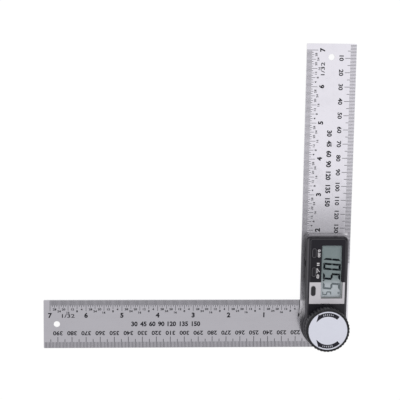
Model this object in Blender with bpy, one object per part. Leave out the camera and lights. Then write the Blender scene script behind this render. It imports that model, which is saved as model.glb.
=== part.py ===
"""Angle finder with arms: two hinged steel rules, a display housing and a lock knob.

The tool lies on its back with its pivot on the Z axis. The display arm points
along +Y and the swing arm along -X, so the arms stand at a right angle.
All sizes are in metres. Z = 0 is the back face of the pivot bolt's head.
"""

from math import acos, cos, pi, radians, sin, sqrt

import bmesh
import bpy

# Driving dimensions of the two rules
ARM_LENGTH = 0.200
BLADE_WIDTH = 0.035
BLADE_THICK = 0.0012
BLADE_CORNER = 0.0006
HANG_HOLE_RADIUS = 0.0022
HANG_HOLE_FROM_END = 0.0093

# Driving dimensions of the display housing, whose width comes from the coin cell in it
CELL_RADIUS = 0.0100
CELL_BAY_MARGIN = 0.0050
HOUSING_HEIGHT = 0.0096
BASE_HEIGHT = 0.0053
HUB_BULGE = 0.0018
HUB_BLEND = 0.0040
HOUSING_CORNER = 0.0030
HOUSING_DRAFT = 0.0005
HOUSING_FILLET = 0.0005
WALL = 0.0012
FLOOR = 0.0007
ROOF = 0.0014
HOUSING_HALF_WIDTH = CELL_RADIUS + CELL_BAY_MARGIN
HUB_RADIUS = HOUSING_HALF_WIDTH + HUB_BULGE

# Driving dimensions of the lock knob
KNOB_STEP = 0.0015
KNOB_HEIGHT = 0.0087
KNOB_RIDGES = 36
RIDGE_DEPTH = 0.0006
DISC_RIM = 0.0014
DISC_THICK = 0.0005
KNOB_RADIUS = HUB_RADIUS - KNOB_STEP
DISC_RADIUS = KNOB_RADIUS - DISC_RIM

# Clearances
LAYER_GAP = 0.0001
SLIDE_GAP = 0.0002
SIDE_GAP = 0.00015
TURN_GAP = 0.0001
OVERRUN = 0.0010

# Facets round a circle, large and small
LARGE_STEPS = 48
MEDIUM_STEPS = 32
SMALL_STEPS = 16
HOLE_STEPS = 12
CORNER_STEPS = 4

# Pivot stack, from the back of the tool to the front
HEAD_RADIUS = 0.0090
HEAD_THICK = 0.0016
HEAD_CHAMFER = 0.0004
REAR_WASHER_THICK = 0.0004
REAR_WASHER_RADIUS = 0.0086
FRICTION_THICK = 0.0004
FRICTION_MARGIN = 0.0020
FRICTION_RADIUS = BLADE_WIDTH / 2 - FRICTION_MARGIN

REAR_WASHER_Z = HEAD_THICK + LAYER_GAP
SWING_BACK_Z = REAR_WASHER_Z + REAR_WASHER_THICK + LAYER_GAP
SWING_FRONT_Z = SWING_BACK_Z + BLADE_THICK
FRICTION_Z = SWING_FRONT_Z + LAYER_GAP
DISPLAY_BACK_Z = FRICTION_Z + FRICTION_THICK + LAYER_GAP
DISPLAY_FRONT_Z = DISPLAY_BACK_Z + BLADE_THICK
HOUSING_Z = DISPLAY_FRONT_Z + LAYER_GAP
FLOOR_Z = HOUSING_Z + FLOOR
SEAM_Z = HOUSING_Z + BASE_HEIGHT
COVER_Z = SEAM_Z + LAYER_GAP
FACE_Z = HOUSING_Z + HOUSING_HEIGHT
ROOF_Z = FACE_Z - ROOF

# Shaft and hub
BOLT_RADIUS = 0.0020
BOLT_FLAT = 0.0015
BOLT_BORE = BOLT_RADIUS + SLIDE_GAP
SPIGOT_RADIUS = 0.0045
HUB_BODY_RADIUS = 0.0070
HUB_NECK_RADIUS = 0.0050
BUSH_RADIUS = 0.0086
BUSH_FLANGE_RADIUS = 0.0104
BUSH_FLANGE_THICK = 0.0006
ROTOR_RADIUS = 0.0125
ROTOR_THICK = 0.0006
ROTOR_AIR_GAP = 0.0003

# Battery, its tray and its contacts
CELL_THICK = 0.0032
CELL_STEP = 0.0006
TRAY_FLOOR = 0.0005
TRAY_FACE = 0.0014
TRAY_RIM = 0.00075
TRAY_TAIL = 0.0009
CELL_PLAY = 0.00015
GUIDE_WALL = 0.0008
NOTCH_LENGTH = 0.0035
NOTCH_HEIGHT = 0.0020
NOTCH_DEPTH = 0.0009
CONTACT_THICK = 0.0003
STRIP_THICK = 0.0002
STRIP_WIDTH = 0.0020
STRIP_LENGTH = 0.0110
CONTACT_HALF = 0.0040
BUMP_HALF = 0.0020

# Circuit board and what stands on it
BOARD_THICK = 0.0008
BOARD_INSET = 0.0024
BOARD_BORE = 0.0050
SUPPORT_HEIGHT = 0.0042
DOME_RADIUS = 0.0016
DOME_HEIGHT = 0.00025
RUBBER_HEIGHT = 0.0007
RUBBER_WIDTH = 0.0012
LCD_MARGIN = 0.0009
LCD_THICK = 0.0014

# Front face: window, panel round it, recess and keys
WINDOW_WIDTH_SHARE = 0.551
WINDOW_LENGTH = 0.0371
WINDOW_SIDE = 0.00285
WINDOW_FOOT = 0.02205
WINDOW_CORNER = 0.0005
PANEL_HEAD = 0.00475
PANEL_LABEL = 0.00485
PANEL_CORNER = 0.0022
PANEL_FOOT_CORNER = 0.0004
PANEL_RECESS = 0.0004
PANEL_THICK = 0.00025
KEY_WIDTH = 0.0033
KEY_LENGTH = 0.0072
KEY_SIDE = 0.0031
KEY_PITCH_SHARE = 0.369
KEY_DROP = 0.0004
KEY_RISE = 0.0003
KEY_FLANGE = 0.0006
KEY_FLANGE_THICK = 0.0006
KEY_TRAVEL = 0.0004
KEY_STEM_RADIUS = 0.0010
KEY_SOFTENING = 0.0002
COVER_MARGIN = 0.0014
COVER_SIDE = 0.0022
TRAY_SHIFT = 0.0046

PANEL_HALF_WIDTH = HOUSING_HALF_WIDTH - COVER_SIDE
WINDOW_WIDTH = 2 * PANEL_HALF_WIDTH * WINDOW_WIDTH_SHARE
WINDOW_X = PANEL_HALF_WIDTH - WINDOW_SIDE - WINDOW_WIDTH / 2
WINDOW_HEAD = WINDOW_FOOT + WINDOW_LENGTH
WINDOW_Y = WINDOW_FOOT + WINDOW_LENGTH / 2
PANEL_TOP = WINDOW_HEAD + PANEL_HEAD
PANEL_BOTTOM = WINDOW_FOOT - PANEL_LABEL
HOUSING_END = PANEL_TOP + COVER_MARGIN
KEY_X = KEY_SIDE - PANEL_HALF_WIDTH
KEY_PITCH = WINDOW_LENGTH * KEY_PITCH_SHARE
KEY_MIDDLE_Y = WINDOW_Y - KEY_DROP
TRAY_MIDDLE = WINDOW_Y + TRAY_SHIFT

# Screws: four through the housing and three through the hub
POST_RADIUS = 0.0017
POST_SIDE = 0.0040
POST_X = HOUSING_HALF_WIDTH - POST_SIDE
POST_HEAD_GAP = 0.00075
POST_FOOT_GAP = 0.00175
POST_TOP_Y = WINDOW_HEAD + POST_HEAD_GAP + POST_RADIUS
POST_FOOT_Y = WINDOW_FOOT - POST_FOOT_GAP - POST_RADIUS
SHELL_SCREW_RADIUS = 0.0009
SHELL_HEAD_RADIUS = 0.0018
SHELL_SCREW_LENGTH = 0.0088
HUB_SCREW_RADIUS = 0.0007
HUB_HEAD_RADIUS = 0.0014
HUB_SCREW_LENGTH = 0.0045
HUB_SCREW_COUNT = 3
HUB_SCREW_CIRCLE = (SPIGOT_RADIUS + HUB_BODY_RADIUS) / 2
HEAD_SINK = 0.00005
HEAD_DEPTH_SHARE = 0.75
SOCKET_RADIUS_SHARE = 0.5
SOCKET_DEPTH_SHARE = 0.45

# Knob, its insert and the washer under it
THRUST_RADIUS = 0.0074
THRUST_THICK = 0.0004
INSERT_RADIUS = 0.0035
INSERT_HEIGHT = 0.0060
KNOB_CHAMFER = 0.0008
KNOB_FOOT_CHAMFER = 0.0005
KNOB_BOSS_RADIUS = 0.0056
KNOB_RIM_WALL = 0.0026
KNOB_CROWN = 0.0030
RIDGE_TOP_SHARE = 0.45

STEEL = (0.56, 0.55, 0.58)
BLACK_PLASTIC = (0.030, 0.030, 0.036)


def clear_scene():
    for item in list(bpy.data.objects):
        bpy.data.objects.remove(item, do_unlink=True)


def paint(name, colour, roughness, metallic):
    material = bpy.data.materials.new(name)
    material.use_nodes = True
    shader = material.node_tree.nodes["Principled BSDF"]
    shader.inputs["Base Color"].default_value = (*colour, 1.0)
    shader.inputs["Roughness"].default_value = roughness
    shader.inputs["Metallic"].default_value = metallic
    return material


def arc(centre, radius, start, end, steps):
    """Points of an arc about centre, both ends included, angles in radians."""
    turn = (end - start) / steps
    return [
        (
            centre[0] + radius * cos(start + turn * i),
            centre[1] + radius * sin(start + turn * i),
        )
        for i in range(steps + 1)
    ]


def circle(centre, radius, steps):
    return arc(centre, radius, 0, 2 * pi, steps)[:-1]


def rounded_box(low, high, corner, foot_corner=None):
    """Anticlockwise outline of a box with round corners, the lower two of another radius if given."""
    foot = corner if foot_corner is None else foot_corner
    quarter = pi / 2
    return [
        *arc((low[0] + foot, low[1] + foot), foot, 2 * quarter, 3 * quarter, CORNER_STEPS),
        *arc((high[0] - foot, low[1] + foot), foot, 3 * quarter, 4 * quarter, CORNER_STEPS),
        *arc((high[0] - corner, high[1] - corner), corner, 0, quarter, CORNER_STEPS),
        *arc((low[0] + corner, high[1] - corner), corner, quarter, 2 * quarter, CORNER_STEPS),
    ]


def pill(centre, width, length):
    """Anticlockwise outline with full round ends, its length along Y."""
    radius = width / 2
    reach = length / 2 - radius
    steps = 2 * CORNER_STEPS
    return [
        *arc((centre[0], centre[1] + reach), radius, 0, pi, steps),
        *arc((centre[0], centre[1] - reach), radius, pi, 2 * pi, steps),
    ]


def at_height(outline, height):
    return [(x, y, height) for x, y in outline]


def finish_mesh(name, mesh_data, material, smooth_angle=35):
    """A new object from a bmesh, with its normals out and its round faces smooth."""
    bmesh.ops.recalc_face_normals(mesh_data, faces=mesh_data.faces)
    mesh = bpy.data.meshes.new(name)
    mesh_data.to_mesh(mesh)
    mesh_data.free()
    mesh.shade_smooth()
    mesh.set_sharp_from_angle(angle=radians(smooth_angle))
    item = bpy.data.objects.new(name, mesh)
    bpy.context.scene.collection.objects.link(item)
    if material is not None:
        mesh.materials.append(material)
    return item


def loft(name, rings, material=None):
    """A closed solid through rings of equal point counts, with flat ends and
    three-cornered sides, which stay flat where the rings differ."""
    data = bmesh.new()
    made = [[data.verts.new(point) for point in ring] for ring in rings]
    for lower, upper in zip(made, made[1:]):
        for i in range(len(lower)):
            j = (i + 1) % len(lower)
            data.faces.new((lower[i], lower[j], upper[j]))
            data.faces.new((lower[i], upper[j], upper[i]))
    data.faces.new(reversed(made[0]))
    data.faces.new(made[-1])
    return finish_mesh(name, data, material)


def prism(name, outline, low, high, material=None):
    return loft(name, [at_height(outline, low), at_height(outline, high)], material)


def turned(name, profile, steps, centre=(0, 0), material=None):
    """A solid turned about a line along Z. The profile runs (radius, height), and an
    open one starts and ends on the line."""
    data = bmesh.new()
    rings = []
    for radius, height in profile:
        if radius == 0:
            rings.append([data.verts.new((centre[0], centre[1], height))])
        else:
            ring = circle(centre, radius, steps)
            rings.append([data.verts.new((x, y, height)) for x, y in ring])
    closed = profile[0][0] != 0
    pairs = list(zip(rings, rings[1:]))
    if closed:
        pairs.append((rings[-1], rings[0]))
    for one, two in pairs:
        for i in range(steps):
            j = (i + 1) % steps
            corners = [one[i % len(one)], one[j % len(one)], two[j % len(two)], two[i % len(two)]]
            data.faces.new(list(dict.fromkeys(corners)))
    return finish_mesh(name, data, material)


def ring_profile(inner, outer, low, high):
    return [(inner, low), (outer, low), (outer, high), (inner, high)]


def rod(name, centre, radius, low, high, steps=SMALL_STEPS):
    return turned(name, [(0, low), (radius, low), (radius, high), (0, high)], steps, centre)


def hide(item):
    item.hide_render = True
    item.display_type = "WIRE"
    item.hide_set(True)


def combine(item, operation, others):
    for other in others:
        step = item.modifiers.new(other.name, "BOOLEAN")
        step.operation = operation
        step.object = other
        hide(other)
    return item


def cut(item, *others):
    return combine(item, "DIFFERENCE", others)


def add(item, *others):
    return combine(item, "UNION", others)


def housing_outline(inset):
    """Outline of the housing seen from the front, drawn in by an even amount."""
    half = HOUSING_HALF_WIDTH - inset
    hub = HUB_RADIUS - inset
    blend = HUB_BLEND + inset
    corner = HOUSING_CORNER - inset
    end = HOUSING_END - inset
    blend_x = half + blend
    blend_y = sqrt((hub + blend) ** 2 - blend_x**2)
    lift = acos(blend_x / (hub + blend))
    hub_steps = MEDIUM_STEPS
    return [
        *arc((0, 0), hub, pi - lift, 2 * pi + lift, hub_steps),
        *arc((blend_x, blend_y), blend, pi + lift, pi, CORNER_STEPS)[1:],
        *arc((half - corner, end - corner), corner, 0, pi / 2, CORNER_STEPS),
        *arc((-half + corner, end - corner), corner, pi / 2, pi, CORNER_STEPS),
        *arc((-blend_x, blend_y), blend, 0, -lift, CORNER_STEPS)[:-1],
    ]


def draft_at(height):
    """How far the housing's wall has drawn in at a height above the back of the tool."""
    rise = HOUSING_HEIGHT - HOUSING_FILLET
    return HOUSING_DRAFT * min(1, (height - HOUSING_Z) / rise)


def wall_inset():
    """The inner faces of both shells, which stand straight up."""
    return HOUSING_DRAFT + WALL


def blade_outline():
    """Outline of a rule along +Y, round at the pivot and square at its far end."""
    half = BLADE_WIDTH / 2
    far = ARM_LENGTH - BLADE_CORNER
    side = half - BLADE_CORNER
    return [
        *arc((0, 0), half, pi, 2 * pi, MEDIUM_STEPS),
        *arc((side, far), BLADE_CORNER, 0, pi / 2, CORNER_STEPS),
        *arc((-side, far), BLADE_CORNER, pi / 2, pi, CORNER_STEPS),
    ]


def post_places():
    return [
        (side * POST_X, y) for y in (POST_TOP_Y, POST_FOOT_Y) for side in (-1, 1)
    ]


def hub_screw_places():
    """Round the pivot, with the first one toward the swing arm."""
    return [
        arc((0, 0), HUB_SCREW_CIRCLE, pi, 3 * pi, HUB_SCREW_COUNT)[i]
        for i in range(HUB_SCREW_COUNT)
    ]


def sink_cutter(name, centre, head, hole, back):
    """A countersunk hole through a rule, opened from its back."""
    depth = (head - hole) * HEAD_DEPTH_SHARE
    wide = head + SLIDE_GAP
    narrow = hole + SLIDE_GAP
    profile = [
        (0, back - OVERRUN),
        (wide, back - OVERRUN),
        (wide, back),
        (narrow, back + depth),
        (narrow, back + BLADE_THICK + OVERRUN),
        (0, back + BLADE_THICK + OVERRUN),
    ]
    return turned(name, profile, SMALL_STEPS, centre)


def countersunk_screw(name, centre, head, shank, length, back, material):
    """A flat-headed screw whose head sits in the back of a rule, with a hexagon socket."""
    depth = (head - shank) * HEAD_DEPTH_SHARE
    start = back + HEAD_SINK
    profile = [
        (0, start),
        (head, start),
        (shank, start + depth),
        (shank, start + length - shank),
        (shank / 2, start + length),
        (0, start + length),
    ]
    screw = turned(name, profile, SMALL_STEPS, centre, material)
    socket_depth = depth * SOCKET_DEPTH_SHARE
    socket = prism(
        name + "_socket",
        circle(centre, head * SOCKET_RADIUS_SHARE, 6),
        start - OVERRUN,
        start + socket_depth,
    )
    return cut(screw, socket)


def make_display_blade(material):
    blade = prism("display_blade", blade_outline(), DISPLAY_BACK_Z, DISPLAY_FRONT_Z, material)
    low = DISPLAY_BACK_Z - OVERRUN
    high = DISPLAY_FRONT_Z + OVERRUN
    bore = rod("display_bore", (0, 0), BUSH_RADIUS + TURN_GAP, low, high, LARGE_STEPS)
    hang_y = ARM_LENGTH - HANG_HOLE_FROM_END
    hang = rod("display_hang", (0, hang_y), HANG_HOLE_RADIUS, low, high, MEDIUM_STEPS)
    sinks = [
        sink_cutter(f"display_sink_{i}", place, SHELL_HEAD_RADIUS, SHELL_SCREW_RADIUS, DISPLAY_BACK_Z)
        for i, place in enumerate(post_places(), 1)
    ]
    return cut(blade, bore, hang, *sinks)


def make_swing_blade(material):
    outline = [(-y, x) for x, y in blade_outline()]
    blade = prism("swing_blade", outline, SWING_BACK_Z, SWING_FRONT_Z, material)
    low = SWING_BACK_Z - OVERRUN
    high = SWING_FRONT_Z + OVERRUN
    bore = rod("swing_bore", (0, 0), SPIGOT_RADIUS + TURN_GAP, low, high, MEDIUM_STEPS)
    hang_x = HANG_HOLE_FROM_END - ARM_LENGTH
    hang = rod("swing_hang", (hang_x, 0), HANG_HOLE_RADIUS, low, high, MEDIUM_STEPS)
    sinks = [
        sink_cutter(f"swing_sink_{i}", place, HUB_HEAD_RADIUS, HUB_SCREW_RADIUS, SWING_BACK_Z)
        for i, place in enumerate(hub_screw_places(), 1)
    ]
    return cut(blade, bore, hang, *sinks)


def tray_edges():
    """The battery tray's left face, its tail and its half length along the housing."""
    top = FLOOR_Z + LAYER_GAP + TRAY_FLOOR + LAYER_GAP + CELL_THICK
    face = -(HOUSING_HALF_WIDTH - draft_at(top))
    cell_x = face + TRAY_FACE + CELL_PLAY + CELL_RADIUS
    tail = cell_x + CELL_RADIUS + CELL_PLAY + TRAY_TAIL
    half = CELL_RADIUS + CELL_PLAY + TRAY_RIM
    return face, tail, half, cell_x, top


def make_base_shell(material):
    rings = [
        at_height(housing_outline(draft_at(HOUSING_Z)), HOUSING_Z),
        at_height(housing_outline(draft_at(SEAM_Z)), SEAM_Z),
    ]
    shell = loft("base_shell", rings, material)
    inner = housing_outline(wall_inset())
    cavity = prism("base_cavity", inner, FLOOR_Z, SEAM_Z + OVERRUN)
    well_radius = BUSH_FLANGE_RADIUS + SLIDE_GAP
    well = rod("base_well", (0, 0), well_radius, HOUSING_Z - OVERRUN, FLOOR_Z + OVERRUN, LARGE_STEPS)
    cut(shell, cavity, well)

    face, tail, half, _, top = tray_edges()
    support_top = FLOOR_Z + SUPPORT_HEIGHT
    root = FLOOR_Z - FLOOR / 2
    bay_low = TRAY_MIDDLE - half - SLIDE_GAP
    bay_high = TRAY_MIDDLE + half + SLIDE_GAP
    wall_x = -(HOUSING_HALF_WIDTH - wall_inset()) - WALL / 2
    stop_x = tail + SLIDE_GAP + 2 * CONTACT_THICK + LAYER_GAP
    guides = [
        prism(
            f"base_guide_{i}",
            [(wall_x, low), (stop_x + GUIDE_WALL, low), (stop_x + GUIDE_WALL, high), (wall_x, high)],
            root,
            support_top,
        )
        for i, (low, high) in enumerate(
            ((bay_low - GUIDE_WALL, bay_low), (bay_high, bay_high + GUIDE_WALL)), 1
        )
    ]
    overlap_low = bay_low - GUIDE_WALL / 2
    overlap_high = bay_high + GUIDE_WALL / 2
    stop = prism(
        "base_stop",
        [
            (stop_x, overlap_low),
            (stop_x + GUIDE_WALL / 2, overlap_low),
            (stop_x + GUIDE_WALL / 2, overlap_high),
            (stop_x, overlap_high),
        ],
        root,
        support_top - LAYER_GAP,
    )
    bosses = [
        rod(f"base_boss_{i}", place, POST_RADIUS, root, support_top)
        for i, place in enumerate(post_places(), 1)
    ]
    add(shell, *guides, stop, *bosses)

    slot_low = bay_low + SLIDE_GAP / 4
    slot_high = bay_high - SLIDE_GAP / 4
    slot = prism(
        "base_slot",
        [
            (face - OVERRUN, slot_low),
            (wall_x + WALL, slot_low),
            (wall_x + WALL, slot_high),
            (face - OVERRUN, slot_high),
        ],
        FLOOR_Z + LAYER_GAP / 2,
        top + SIDE_GAP,
    )
    hole_radius = SHELL_SCREW_RADIUS + SLIDE_GAP
    holes = [
        rod(f"base_hole_{i}", place, hole_radius, HOUSING_Z - OVERRUN, support_top + OVERRUN, HOLE_STEPS)
        for i, place in enumerate(post_places(), 1)
    ]
    return cut(shell, slot, *holes)


def panel_outline(clearance):
    return rounded_box(
        (-PANEL_HALF_WIDTH - clearance, PANEL_BOTTOM - clearance),
        (PANEL_HALF_WIDTH + clearance, PANEL_TOP + clearance),
        PANEL_CORNER + clearance,
        PANEL_FOOT_CORNER + clearance,
    )


def window_outline(clearance):
    half_width = WINDOW_WIDTH / 2 + clearance
    half_length = WINDOW_LENGTH / 2 + clearance
    return rounded_box(
        (WINDOW_X - half_width, WINDOW_Y - half_length),
        (WINDOW_X + half_width, WINDOW_Y + half_length),
        WINDOW_CORNER + clearance,
    )


def key_places():
    return {
        "key_zero": (KEY_X, KEY_MIDDLE_Y + KEY_PITCH),
        "key_hold": (KEY_X, KEY_MIDDLE_Y),
        "key_power": (KEY_X, KEY_MIDDLE_Y - KEY_PITCH),
    }


def key_cutters(owner, low, high):
    return [
        prism(
            f"{owner}_{name}_slot",
            pill(place, KEY_WIDTH + 2 * SIDE_GAP, KEY_LENGTH + 2 * SIDE_GAP),
            low,
            high,
        )
        for name, place in key_places().items()
    ]


def flat_side_outline(radius, flat, steps):
    """A circle with one side cut flat, the section of the keyed bolt and of its hole."""
    start = acos(flat / radius)
    return arc((0, 0), radius, start, 2 * pi - start, steps)


def make_top_shell(material):
    straight_top = FACE_Z - HOUSING_FILLET
    rings = [
        at_height(housing_outline(draft_at(COVER_Z)), COVER_Z),
        at_height(housing_outline(HOUSING_DRAFT), straight_top),
    ]
    for i in range(1, CORNER_STEPS + 1):
        turn = pi / 2 * i / CORNER_STEPS
        inset = HOUSING_DRAFT + HOUSING_FILLET * (1 - cos(turn))
        rings.append(at_height(housing_outline(inset), straight_top + HOUSING_FILLET * sin(turn)))
    shell = loft("top_shell", rings, material)
    cavity = prism("cover_cavity", housing_outline(wall_inset()), COVER_Z - OVERRUN, ROOF_Z)
    cut(shell, cavity)

    posts = [
        rod(f"cover_post_{i}", place, POST_RADIUS, board_top() + LAYER_GAP, ROOF_Z + ROOF / 2)
        for i, place in enumerate(post_places(), 1)
    ]
    column = rod(
        "cover_column",
        (0, 0),
        BOARD_BORE - SLIDE_GAP,
        board_top() + LAYER_GAP,
        ROOF_Z + ROOF / 2,
        MEDIUM_STEPS,
    )
    add(shell, *posts, column)

    recess = prism("cover_recess", panel_outline(SIDE_GAP), FACE_Z - PANEL_RECESS, FACE_Z + OVERRUN)
    window = prism("cover_window", window_outline(SIDE_GAP), ROOF_Z - OVERRUN, FACE_Z + OVERRUN)
    keyed_hole = prism(
        "cover_keyed_hole",
        flat_side_outline(BOLT_BORE, BOLT_FLAT + SIDE_GAP, SMALL_STEPS),
        board_top(),
        FACE_Z + OVERRUN,
    )
    pilot_top = ROOF_Z + ROOF / 4
    pilots = [
        rod(f"cover_pilot_{i}", place, SHELL_SCREW_RADIUS + TURN_GAP, board_top(), pilot_top)
        for i, place in enumerate(post_places(), 1)
    ]
    slots = key_cutters("cover", ROOF_Z - OVERRUN, FACE_Z + OVERRUN)
    return cut(shell, recess, window, keyed_hole, *pilots, *slots)


def panel_low():
    return FACE_Z - PANEL_RECESS + LAYER_GAP / 2


def panel_high():
    return panel_low() + PANEL_THICK


def make_face_panel(material):
    panel = prism("face_panel", panel_outline(0), panel_low(), panel_high(), material)
    low = panel_low() - OVERRUN
    high = panel_high() + OVERRUN
    window = prism("panel_window", window_outline(SIDE_GAP), low, high)
    return cut(panel, window, *key_cutters("panel", low, high))


def make_display_window(material):
    return prism("display_window", window_outline(0), ROOF_Z, panel_high(), material)


def board_low():
    return FLOOR_Z + SUPPORT_HEIGHT + LAYER_GAP


def board_top():
    return board_low() + BOARD_THICK


def lcd_low():
    return board_top() + LAYER_GAP + RUBBER_HEIGHT + LAYER_GAP


def make_lcd_module(material):
    half_width = WINDOW_WIDTH / 2 + LCD_MARGIN
    half_length = WINDOW_LENGTH / 2 + LCD_MARGIN / 2
    outline = rounded_box(
        (WINDOW_X - half_width, WINDOW_Y - half_length),
        (WINDOW_X + half_width, WINDOW_Y + half_length),
        WINDOW_CORNER,
    )
    return prism("lcd_module", outline, lcd_low(), lcd_low() + LCD_THICK, material)


def make_elastomer_strip(name, side, material):
    edge = WINDOW_X + side * (WINDOW_WIDTH / 2 + LCD_MARGIN)
    inner = edge - side * RUBBER_WIDTH
    half_length = WINDOW_LENGTH / 2
    low_x, high_x = sorted((edge, inner))
    outline = rounded_box(
        (low_x, WINDOW_Y - half_length), (high_x, WINDOW_Y + half_length), WINDOW_CORNER
    )
    low = board_top() + LAYER_GAP
    return prism(name, outline, low, low + RUBBER_HEIGHT, material)


def make_circuit_board(material):
    board = prism("circuit_board", housing_outline(BOARD_INSET), board_low(), board_top(), material)
    low = board_low() - OVERRUN
    high = board_top() + OVERRUN
    bore = rod("board_bore", (0, 0), BOARD_BORE, low, high, MEDIUM_STEPS)
    holes = [
        rod(f"board_hole_{i}", place, SHELL_SCREW_RADIUS + SLIDE_GAP, low, high)
        for i, place in enumerate(post_places(), 1)
    ]
    return cut(board, bore, *holes)


def make_snap_dome(name, place, material):
    low = board_top() + LAYER_GAP / 2
    profile = [
        (0, low),
        (DOME_RADIUS, low),
        (DOME_RADIUS * cos(pi / 4), low + DOME_HEIGHT * sin(pi / 4)),
        (0, low + DOME_HEIGHT),
    ]
    return turned(name, profile, SMALL_STEPS, place, material)


def make_key(name, place, material):
    """A key with its cap through the panel, a flange under the roof and a short stem."""
    flange_top = ROOF_Z - LAYER_GAP
    flange_low = flange_top - KEY_FLANGE_THICK
    cap_top = panel_high() + KEY_RISE
    soft_top = cap_top - KEY_SOFTENING
    wide = pill(place, KEY_WIDTH + 2 * KEY_FLANGE, KEY_LENGTH + 2 * KEY_FLANGE)
    cap = pill(place, KEY_WIDTH, KEY_LENGTH)
    crown = pill(place, KEY_WIDTH - 2 * KEY_SOFTENING, KEY_LENGTH - 2 * KEY_SOFTENING)
    rings = [
        at_height(wide, flange_low),
        at_height(wide, flange_top),
        at_height(cap, flange_top),
        at_height(cap, soft_top),
        at_height(crown, cap_top),
    ]
    key = loft(name, rings, material)
    dome_top = board_top() + LAYER_GAP / 2 + DOME_HEIGHT
    stem_low = dome_top + KEY_TRAVEL + LAYER_GAP
    stem = rod(name + "_stem", place, KEY_STEM_RADIUS, stem_low, flange_low + KEY_FLANGE_THICK / 2)
    return add(key, stem)


def make_battery_tray(material):
    face, tail, half, cell_x, top = tray_edges()
    low = FLOOR_Z + LAYER_GAP
    outline = [
        (face, TRAY_MIDDLE - half),
        (tail, TRAY_MIDDLE - half),
        (tail, TRAY_MIDDLE + half),
        (face, TRAY_MIDDLE + half),
    ]
    tray = prism("battery_tray", outline, low, top, material)
    pocket = rod(
        "tray_pocket",
        (cell_x, TRAY_MIDDLE),
        CELL_RADIUS + CELL_PLAY,
        low + TRAY_FLOOR,
        top + OVERRUN,
        LARGE_STEPS,
    )
    gate_half = BUMP_HALF + 2 * SLIDE_GAP
    gate = prism(
        "tray_gate",
        [
            (cell_x, TRAY_MIDDLE - gate_half),
            (tail + OVERRUN, TRAY_MIDDLE - gate_half),
            (tail + OVERRUN, TRAY_MIDDLE + gate_half),
            (cell_x, TRAY_MIDDLE + gate_half),
        ],
        low + TRAY_FLOOR,
        top + OVERRUN,
    )
    middle_z = (low + top) / 2
    notch = prism(
        "tray_notch",
        [(y, z) for z, y in pill((0, 0), NOTCH_HEIGHT, NOTCH_LENGTH)],
        -NOTCH_DEPTH,
        NOTCH_DEPTH,
    )
    notch.rotation_euler = (pi / 2, 0, pi / 2)
    notch.location = (face, TRAY_MIDDLE, middle_z)
    return cut(tray, pocket, gate, notch)


def make_coin_cell(material):
    _, _, _, cell_x, _ = tray_edges()
    low = FLOOR_Z + LAYER_GAP + TRAY_FLOOR + LAYER_GAP
    high = low + CELL_THICK - LAYER_GAP
    profile = [
        (0, low),
        (CELL_RADIUS - CELL_STEP / 2, low),
        (CELL_RADIUS, low + CELL_STEP / 2),
        (CELL_RADIUS, high - CELL_STEP),
        (CELL_RADIUS - CELL_STEP, high - CELL_STEP / 2),
        (CELL_RADIUS - 2 * CELL_STEP, high),
        (0, high),
    ]
    return turned("coin_cell", profile, LARGE_STEPS, (cell_x, TRAY_MIDDLE), material)


def make_contact_positive(material):
    """A spring strip against the bay's end, with a bump that reaches the cell's side."""
    _, tail, _, cell_x, top = tray_edges()
    plate = tail + SLIDE_GAP + CONTACT_THICK
    touch = cell_x + CELL_RADIUS + LAYER_GAP
    back = [
        (plate + CONTACT_THICK, CONTACT_HALF),
        (plate + CONTACT_THICK, -CONTACT_HALF),
    ]
    front = [
        (plate, -CONTACT_HALF),
        (plate, -BUMP_HALF),
        (touch, -BUMP_HALF / 4),
        (touch, BUMP_HALF / 4),
        (plate, BUMP_HALF),
        (plate, CONTACT_HALF),
    ]
    inner = [
        (plate + CONTACT_THICK, BUMP_HALF),
        (touch + CONTACT_THICK, BUMP_HALF / 4),
        (touch + CONTACT_THICK, -BUMP_HALF / 4),
        (plate + CONTACT_THICK, -BUMP_HALF),
    ]
    outline = [*front, back[0], *inner, back[1]]
    placed = [(x, TRAY_MIDDLE + y) for x, y in outline]
    low = FLOOR_Z + LAYER_GAP + TRAY_FLOOR + LAYER_GAP
    return prism("contact_positive", placed, low, top, material)


def make_contact_negative(material):
    """A flat spring strip under the circuit board, over the cell."""
    _, _, _, cell_x, _ = tray_edges()
    high = board_low() - LAYER_GAP / 2
    outline = rounded_box(
        (cell_x - STRIP_LENGTH / 2, TRAY_MIDDLE - STRIP_WIDTH / 2),
        (cell_x + STRIP_LENGTH / 2, TRAY_MIDDLE + STRIP_WIDTH / 2),
        STRIP_WIDTH / 4,
    )
    return prism("contact_negative", outline, high - STRIP_THICK, high, material)


def make_bearing_bush(material):
    bore = HUB_BODY_RADIUS + TURN_GAP
    profile = [
        (bore, DISPLAY_BACK_Z + LAYER_GAP),
        (BUSH_RADIUS, DISPLAY_BACK_Z + LAYER_GAP),
        (BUSH_RADIUS, DISPLAY_FRONT_Z + LAYER_GAP),
        (BUSH_FLANGE_RADIUS, DISPLAY_FRONT_Z + LAYER_GAP),
        (BUSH_FLANGE_RADIUS, DISPLAY_FRONT_Z + LAYER_GAP + BUSH_FLANGE_THICK),
        (bore, DISPLAY_FRONT_Z + LAYER_GAP + BUSH_FLANGE_THICK),
    ]
    return turned("bearing_bush", profile, LARGE_STEPS, material=material)


def rotor_z():
    return board_low() - ROTOR_AIR_GAP - ROTOR_THICK


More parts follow.
